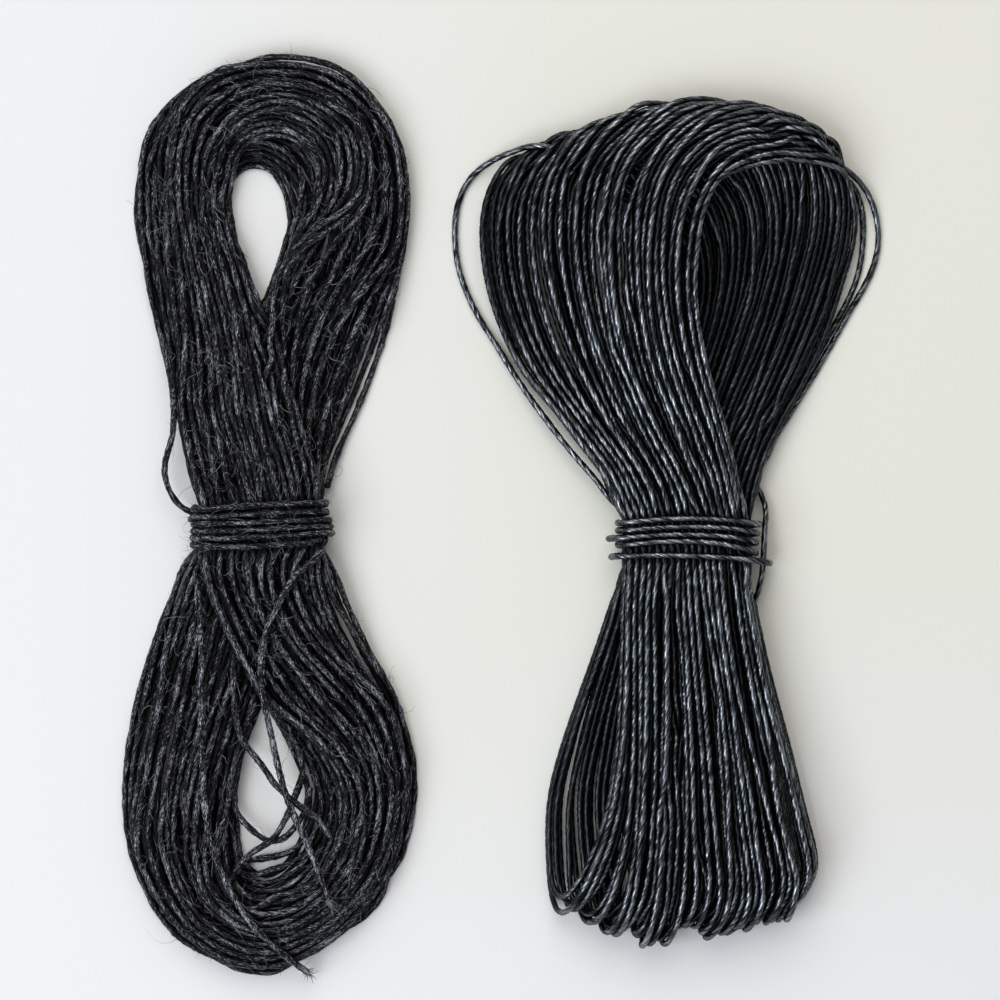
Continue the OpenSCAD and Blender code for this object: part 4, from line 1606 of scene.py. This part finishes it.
@dataclass(frozen=True)
class Fibres:
    """One kind of loose fibre.

    Attributes:
        count, segments: how many there are, and of how many straight pieces each is made.
        radius, length: radius at the root, and shortest and longest length.
        curl: how strongly they curl.
        along: how much they follow the thread, from 0 to 1.
        clumps, clump_reach: round how many places they gather, if not everywhere, and how near.
        lowest_root: height of the lowest thread that they grow from.
        floor: height of the lowest point that they may have.
    """

    count: int
    segments: int
    radius: float
    length: tuple[float, float]
    curl: float
    along: float = 0.0
    clumps: int = 0
    clump_reach: float = 3.0
    lowest_root: float = 1.5
    floor: float = 0.06

    def roots(self, path: Array, rng: np.random.Generator) -> Array:
        """Which points of the thread they grow from: anywhere, or near a few chosen points.

        Args:
            path: points of the thread, one a row.
            rng: source of the random draws.

        Returns:
            For each fibre, the place in the list of the point it grows from.
        """
        chance = (path[:, 2] > self.lowest_root).astype(float)
        if self.clumps:
            middles = path[rng.integers(0, len(path), self.clumps)]
            near = np.linalg.norm(path[:, None, :] - middles[None], axis=2).min(axis=1)
            chance *= np.exp(-((near / self.clump_reach) ** 2))
        chance[[0, -1]] = 0
        return rng.choice(len(path), self.count, p=chance / chance.sum())

    def rooted(self, path: Array, rng: np.random.Generator) -> tuple[Array, Array]:
        """Starts on the thread's surface, and headings outwards and along the thread.

        Args:
            path: points of the thread, one a row.
            rng: source of the random draws.

        Returns:
            The starts and the unit headings, a row for each fibre.
        """
        pick = self.roots(path, rng)
        thread = unit(path[np.minimum(pick + 1, len(path) - 1)] - path[np.maximum(pick - 1, 0)])
        thread *= rng.choice([-1, 1], self.count)[:, None]
        out = rng.normal(size=(self.count, 3)) + [0, 0, 1.0]
        out = unit(out - thread * (out * thread).sum(axis=1, keepdims=True))
        heading = unit(out * (1 - self.along) + thread * self.along)
        return path[pick] + out * THREAD_D * 0.46, heading

    def tufted(self, path: Array, rng: np.random.Generator) -> tuple[Array, Array]:
        """Starts in the cut end of a thread, and headings onwards that spread a little.

        Args:
            path: points of the thread, the cut end last.
            rng: source of the random draws.

        Returns:
            The starts and the unit headings, a row for each fibre.
        """
        onwards = unit(path[-1] - path[-3])
        spread = rng.normal(size=(self.count, 3)) * [1, 1, 0.3]
        return path[-1] + spread * 0.18, unit(onwards + spread * (1 - self.along))

    def lines(self, place: Array, heading: Array, rng: np.random.Generator) -> Array:
        """Fibres as lines of points.

        Each step turns the heading by a random amount that carries on from step to step,
        which makes a fibre curl.

        Args:
            place: where each fibre starts.
            heading: its unit heading there.
            rng: source of the random draws.

        Returns:
            The points (fibres, segments + 1, 3).
        """
        length = rng.uniform(*self.length, self.count) * rng.uniform(0.4, 1.0, self.count)
        step = (length / self.segments)[:, None]
        spin = rng.normal(size=(self.count, 3)) * self.curl
        points = [place]
        for _ in range(self.segments):
            spin = spin * 0.8 + rng.normal(size=(self.count, 3)) * self.curl * 0.5
            heading = unit(heading + np.cross(spin, heading) * 0.5)
            place = place + heading * step
            place[:, 2] = np.maximum(place[:, 2], self.floor)
            points.append(place)
        return np.stack(points, axis=1)

    def skin(self, start: tuple[Array, Array], rng: np.random.Generator) -> Skin:
        """The fibres as thin three-sided tubes that get thinner to their tips.

        Args:
            start: the starts and the unit headings.
            rng: source of the random draws.

        Returns:
            All fibres as one skin.
        """
        lines = self.lines(*start, rng)
        along = unit(np.gradient(lines, axis=1))
        side = unit(np.cross(along, [0.3, 0.2, 1.0]))
        above = np.cross(along, side)
        thin = self.radius * np.linspace(1, 0.4, self.segments + 1)[None, :, None, None]
        angle = 2 * np.pi * np.arange(3) / 3
        rings = (lines[:, :, None, :]
                 + thin * (np.cos(angle)[:, None] * side[:, :, None, :]
                           + np.sin(angle)[:, None] * above[:, :, None, :]))
        fibres, n, _, _ = rings.shape
        base = np.arange(fibres)[:, None, None] * n * 3
        quads = (base + tube_faces(n, 3)[None]).reshape(-1, 4)
        caps = (base + cap_faces(n, 3)[None]).reshape(-1, 3)
        cell = int(math.ceil(math.sqrt(fibres)))
        owner = np.concatenate([np.repeat(np.arange(fibres), 4 * (n - 1) * 3),
                                np.repeat(np.arange(fibres), 3 * 2)])
        spots = (np.stack([owner % cell, owner // cell], axis=-1) + 0.5) / cell
        return Skin(rings.reshape(-1, 3), quads, caps, spots, spots)


@dataclass
class Fuzz:
    """Loose fibres on the linen thread: short ones that lie along it, curls, and frayed ends."""

    down: Fibres = Fibres(7600, 4, 0.04, (1.2, 4.0), 0.35, along=0.9)
    curls: Fibres = Fibres(900, 10, 0.04, (2.2, 7.5), 0.6, along=0.5)
    clumps: Fibres = Fibres(900, 10, 0.04, (2.0, 7.0), 0.85, along=0.4, clumps=18)
    tips: Fibres = Fibres(34, 6, 0.07, (1.2, 3.0), 0.25, along=0.72)
    seed: int = 21

    def build(self, runs: dict[str, Run], finish: bpy.types.Material) -> None:
        """Makes the two pieces of fibre.

        Args:
            runs: the linen hank's stretches of thread by name.
            finish: material of the fibres.
        """
        rng = np.random.default_rng(self.seed)
        path = np.vstack([r.path for r in runs.values()])
        self.piece("linen_down", [self.down.skin(self.down.rooted(path, rng), rng)], finish)
        curled = [kind.skin(kind.rooted(path, rng), rng) for kind in (self.curls, self.clumps)]
        frayed = [self.tips.skin(self.tips.tufted(runs[name].path, rng), rng)
                  for name in ("linen_tie_tail_thread", "linen_start_tail_thread")]
        self.piece("linen_curled_fibres", curled + frayed, finish)

    def piece(self, name: str, skins: Sequence[Skin], finish: bpy.types.Material) -> None:
        """One piece of fibres that rides with the linen hank.

        Args:
            name: the piece's name.
            skins: the fibres that it is made of.
            finish: their material.
        """
        piece = Skin.joined(skins).to_object(name, finish)
        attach(piece, Body.LINEN.value)
        LOG.info("%s: %d faces", name, len(piece.data.polygons))


# ---- bench, light and camera ----


@dataclass
class Studio:
    """A pale bench top, two broad lamps and a camera straight above.

    Attributes:
        frame_w, view_centre: width of the camera's frame at the threads, and its middle.
        camera_height, thread_height: height of the camera, and of the threads that it sees.
        bench_w: side of the bench top.
        bench_warm, bench_cool: its colours at the upper right, and at the left and near side.
    """

    frame_w: float = 152.0
    view_centre: tuple[float, float] = (-0.23, 2.36)
    camera_height: float = 800.0
    thread_height: float = 4.0
    bench_w: float = 3000.0
    bench_warm: tuple[float, float, float] = (0.82, 0.80, 0.72)
    bench_cool: tuple[float, float, float] = (0.855, 0.84, 0.84)

    def camera(self) -> bpy.types.Object:
        """The camera: its lens makes the frame this wide at the height of the threads.

        Returns:
            The camera, which the scene then looks through.
        """
        data = bpy.data.cameras.new("Camera")
        data.sensor_width = 36.0
        data.lens = data.sensor_width * (self.camera_height - self.thread_height) / self.frame_w
        data.clip_end = 20.0
        camera = bpy.data.objects.new("Camera", data)
        camera.location = (*(c * MM for c in self.view_centre), self.camera_height * MM)
        bpy.context.scene.collection.objects.link(camera)
        bpy.context.scene.camera = camera
        return camera

    def bench(self) -> None:
        """The bench top: one pale plane with a soft gloss, whose colour goes from warm to cool."""
        half = self.bench_w / 2 * MM
        mesh = bpy.data.meshes.new("Bench")
        mesh.from_pydata([(-half, -half, 0), (half, -half, 0), (half, half, 0),
                          (-half, half, 0)], [], [(0, 1, 2, 3)])
        material = bpy.data.materials.new("Pale laminate")
        material.use_nodes = True
        tree = material.node_tree
        shader = tree.nodes["Principled BSDF"]
        place = add(tree, "ShaderNodeTexCoord")
        split = add(tree, "ShaderNodeSeparateXYZ")
        tree.links.new(place.outputs["Object"], split.inputs[0])
        left = ramp(tree, math_node(tree, "MULTIPLY_ADD", split.outputs[0], -6.0, 0.5),
                    [(0.44, grey(0.0)), (0.86, grey(1.0))])
        lower = ramp(tree, math_node(tree, "MULTIPLY_ADD", split.outputs[1], -6.0, 0.5),
                     [(0.56, grey(0.0)), (0.94, grey(1.0))])
        cool = math_node(tree, "MAXIMUM", left, lower)
        tree.links.new(ramp(tree, cool, [(0.0, self.bench_warm), (1.0, self.bench_cool)]),
                       shader.inputs["Base Color"])
        shader.inputs["Roughness"].default_value = 0.38
        shader.inputs["Specular IOR Level"].default_value = 0.4
        mesh.materials.append(material)
        bench = bpy.data.objects.new("Bench", mesh)
        bpy.context.scene.collection.objects.link(bench)

    def light(self) -> None:
        """Even sky light, a broad lamp beyond the bench, and a cool window at the lower left."""
        world = bpy.data.worlds.new("Sky")
        world.use_nodes = True
        background = world.node_tree.nodes["Background"]
        background.inputs["Color"].default_value = (0.97, 0.985, 1.0, 1)
        background.inputs["Strength"].default_value = 0.32
        bpy.context.scene.world = world
        self.lamp("Ceiling", (-0.12, 0.85, 1.05), 1.2, (1.0, 0.985, 0.95), 9.0)
        self.lamp("Window", (-0.5, -0.33, 0.84), 0.75, (0.85, 0.925, 1.0), 6.6)

    def lamp(self, name: str, place: tuple[float, float, float], size: float,
             colour: tuple[float, float, float], power: float) -> None:
        """A square lamp that faces the middle of the bench.

        Args:
            name: the lamp's name.
            place: where it hangs, in metres.
            size: its side, in metres.
            colour: its colour.
            power: its power, in watts.
        """
        data = bpy.data.lights.new(name, "AREA")
        data.shape = "SQUARE"
        data.size = size
        data.color = colour
        data.energy = power
        lamp = bpy.data.objects.new(name, data)
        direction = -np.array(place) / np.linalg.norm(place)
        right = unit(np.cross(direction, [0, 0, 1.0]))
        up = np.cross(right, direction)
        turn = Matrix(np.column_stack([right, up, -direction]).tolist()).to_4x4()
        lamp.matrix_world = Matrix.Translation(place) @ turn
        bpy.context.scene.collection.objects.link(lamp)


def main() -> None:
    """Builds the pair of hanks on the bench."""
    logging.basicConfig(level=logging.INFO, format="%(name)s %(message)s")
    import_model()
    studio = Studio()
    studio.camera()
    yarn = yarn_group()
    linen_runs = LinenHank().build(WAXED_LINEN.material(yarn))
    PolyesterHank().build(WAXED_POLYESTER.material(yarn))
    Fuzz().build(linen_runs, FibreFinish().material())
    studio.bench()
    studio.light()
    bpy.context.scene.view_settings.view_transform = "Standard"


if __name__ == "__main__":
    main()
